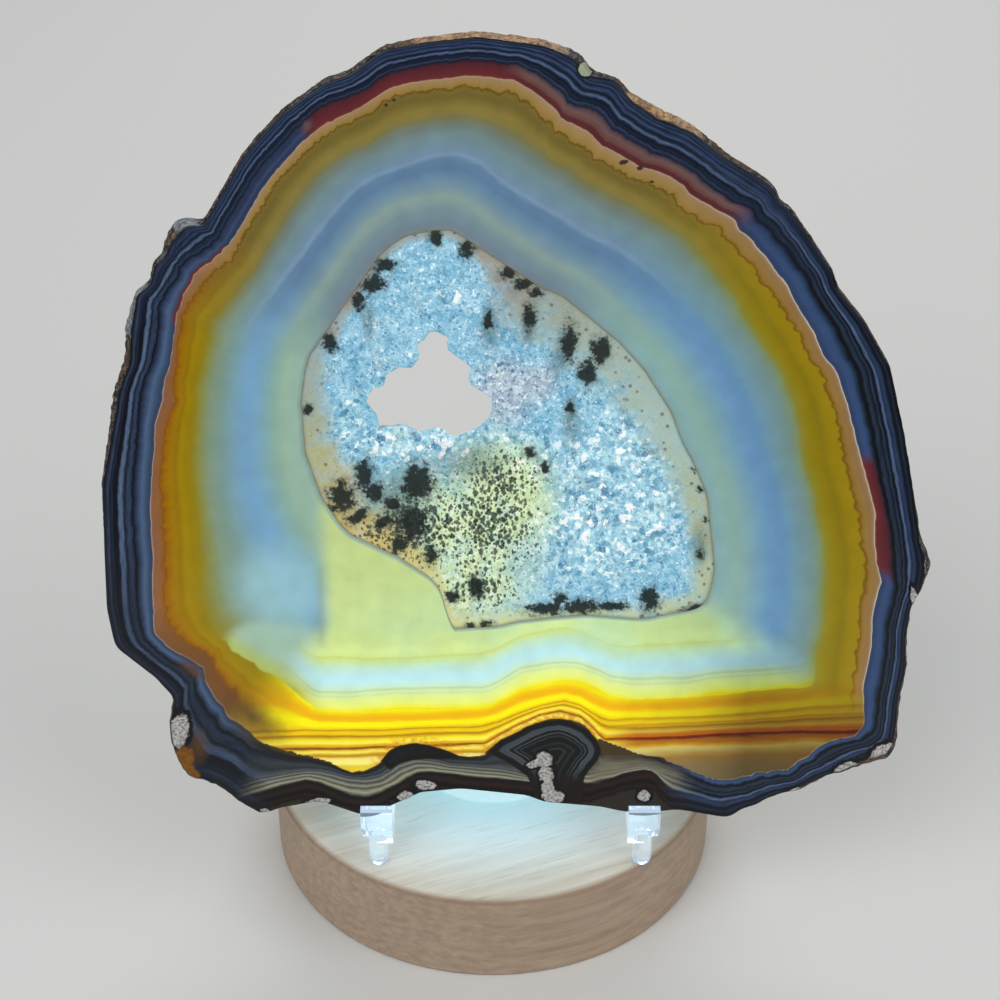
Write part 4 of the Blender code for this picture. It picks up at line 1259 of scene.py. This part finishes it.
def crustMaterial():
    # Pale blue crystals, each with its own shade, the whitest of them partly painted glints, over a smooth
    # border, with dark moss and speckles and an even painted glow.
    look = crustFinish
    material, tree, shader = newMaterial("quartzCrust")
    place = mapped(objectPlace(tree), (1000, 1000, 1000))
    moss, speckle, yellow, border = storedFour(tree, "crust")
    lilac, rimLine, plates, shade = storedFour(tree, "zone")
    soft = noise(place, 0.25, 3.0, 0.6)
    grain = noise(place, 1.8, 4.0, 0.7)
    edges = cells(place, 0.9, feature="DISTANCE_TO_EDGE")
    shard = parted(cells(mapped(place, (1, 0.55, 1), (0, 40, 20)), 1.15, "Color"))[0]
    tone = plus(plus(times(shade, 0.5), times(grain, 0.35)), times(shard, 0.22))
    # The white ends of these ramps are partly the crystals' own white and partly painted glints.
    drusy = ramped(tone, "270 4a8cb0, 420 70b0ce, 560 90c6de, 680 b0dcee, 780 d8f2fc, 860 ffffff")
    greyish = ramped(tone, "340 587086, 480 98b0c4, 620 bcccda, 740 fafcff")
    plated = ramped(tone, "270 4e88a8, 420 7cb4ce, 560 a6d6e4, 635 c4ecf4, 660 ffffff")
    yellowish = ramped(tone, "270 9cb88a, 450 c8dca8, 620 dcf2c4, 780 fffff4")
    smooth = mixed(rescale(grain, 0.3, 0.7, 0.0, 0.35), stored(tree, "border", "Color"), "c8d0bc")
    wander = plus(times(minus(soft, 0.5), 1.6), times(minus(grain, 0.5), 0.9))
    colour = layered(drusy, [
        (lilac, greyish),
        (plates, plated),
        (rescale(edges, 0.015, 0.07, 0.5, 0.0), mixed(rescale(soft, 0.4, 0.56), "4c7890", "e4f8ff")),
        (times(yellow, rescale(soft, 0.3, 0.55, 0.6, 1.0)), yellowish),
        (rescale(plus(border, wander), 0.1, 1.05), smooth),
    ])
    for scale, tilt, small, large in look["speckles"]:
        bits = plus(cells(mapped(place, (1.15, 1.0, 0.9), (0, tilt, 0)), scale), times(grain, 0.75))
        size = rescale(speckle, -0.1, 0.8, small, large)
        bitMask = times(rescale(minus(bits, size), 0.08, 0.22, 1.0, 0.0), rescale(speckle, -0.15, 0.2))
        colour = mixed(times(bitMask, 0.85), colour, "16241c")
    ragged = times(minus(noise(place, 0.75, 5.0, 0.75), 0.5), 3.6)
    mossEdge = plus(moss, ragged)
    colour = layered(colour, [
        (times(rescale(cells(place, 0.5), 0.14, 0.22, 1.0, 0.0), times(border, 0.7)), "5c4c38"),
        (times(stored(tree, "border", "Alpha"), rescale(grain, 0.3, 0.65, 0.2, 0.85)), "3c5c64"),
        (rescale(mossEdge, -1.0, 0.3, 0.0, 0.55), "3c5450"),
        (times(rescale(mossEdge, -0.3, 0.15), 0.95), mixed(grain, "000404", "0e201c")),
        (times(rimLine, 0.2), "7a5c48"),
    ])
    roughness = rescale(border, 0.0, 1.0, look["crystalRoughness"], look["borderRoughness"])
    # The crust's even glow is painted lamp light.
    surfaced(shader, colour, look["glow"], roughness, look["shine"])
    bumped(shader, grain, look["bump"], 0.6)
    return material


makeCrust(crustMaterial())
print("crystal crust made")

# Base, lamp window and easel
base = {
    "grainTurn": 22.0,  # degrees from straight across
    "top": 0.022,
    "radius": 0.05,
    "lampRadius": 0.02,
    "lightReach": 0.052,  # from the middle, where the lamp's cool light on the wood ends
    "lightGlow": 0.42,
    "roughness": 0.55,
    "shine": 0.3,
    "bump": 0.00012,
}
lampWindow = {"glow": 0.5, "roughness": 0.4, "bump": 0.0001}
# The clear plastic's glow and its colour are painted light, the same all over.
clearPlastic = {"tint": "f2faff", "roughness": 0.03, "ior": 1.49, "edgeLight": "cfe8ff", "glow": 0.12}


def woodMaterial():
    # Pale close-grained wood: streaks along one direction, fine dark pores, the top painted paler than the
    # side for light from above, and a painted cool light near the lamp.
    look = base
    material, tree, shader = newMaterial("paleWood")
    place = objectPlace(tree)
    along = mapped(place, (1, 1, 1), (0, 0, -look["grainTurn"]))
    streaks = noise(mapped(along, (26, 520, 700)), 1.0, 4.0, 0.6, 0.3)
    pores = noise(mapped(along, (110, 2200, 2200)), 1.0, 2.0, 0.5)
    broad = noise(mapped(along, (8, 40, 60)), 1.0, 2.0, 0.5)
    x, y, z = partedVector(place)
    out = calc("SQRT", plus(times(x, x), times(y, y)))
    onTop = rescale(z, look["top"] - 0.0006, look["top"] - 0.0001)
    near = times(onTop, rescale(out, look["lampRadius"], look["lightReach"], 1.0, 0.0))
    rim = times(
        rescale(out, look["radius"] - 0.0012, look["radius"] - 0.0003),
        rescale(z, look["top"] - 0.0016, look["top"] - 0.0004),
    )
    colour = layered(ramped(streaks, "250 a08a76, 450 ae9884, 600 b8a28c, 800 c0aa96"), [
        # Painted light: the top paler than the side, as lit from above.
        (onTop, ramped(streaks, "250 d8ccb4, 450 e4dac4, 600 ece4d2, 800 f4eee0")),
        (rescale(broad, 0.35, 0.65, 0.0, 0.12), "a88c6c"),
        (near, "b8e6f6"),
        (rescale(pores, 0.6, 0.74, 0.0, 0.28), "8c7458"),
        (times(rim, 0.5), "8a6c50"),
    ])
    surfaced(shader, colour, times(near, look["lightGlow"]), look["roughness"], look["shine"])
    bumped(shader, plus(streaks, pores), look["bump"], 0.5)
    return material


def windowMaterial():
    # Frosted pale plastic, lit from below: a bluish white with a fine grain.
    material, tree, shader = newMaterial("frostedWindow", lamp=True)
    frost = noise(mapped(objectPlace(tree), (1000, 1000, 1000)), 2.0, 3.0, 0.6)
    surfaced(shader, mixed(frost, "b4e0f0", "d0f2fa"), lampWindow["glow"], lampWindow["roughness"])
    bumped(shader, frost, lampWindow["bump"], 0.3)
    return material


def clearMaterial(name):
    # Plain transmission, with a faint even painted glow for the lamp's light carried up through it and the
    # light it reflects.
    material, tree, shader = newMaterial(name)
    surfaced(shader, clearPlastic["tint"], clearPlastic["glow"], clearPlastic["roughness"])
    feed(shader.inputs["Emission Color"], clearPlastic["edgeLight"])
    shader.inputs["Transmission Weight"].default_value = 1.0
    shader.inputs["IOR"].default_value = clearPlastic["ior"]
    return material


def dress(node, material):
    # Gives a piece of the frame a material.
    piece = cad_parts[node]
    piece.data.materials.clear()
    piece.data.materials.append(material)


dress("wooden_base", woodMaterial())
dress("light_window", windowMaterial())
clear = clearMaterial("clearPlastic")
for node in ("easel_left", "easel_right", "easel_crossbar"):
    dress(node, clear)
print("base, window and easel dressed")
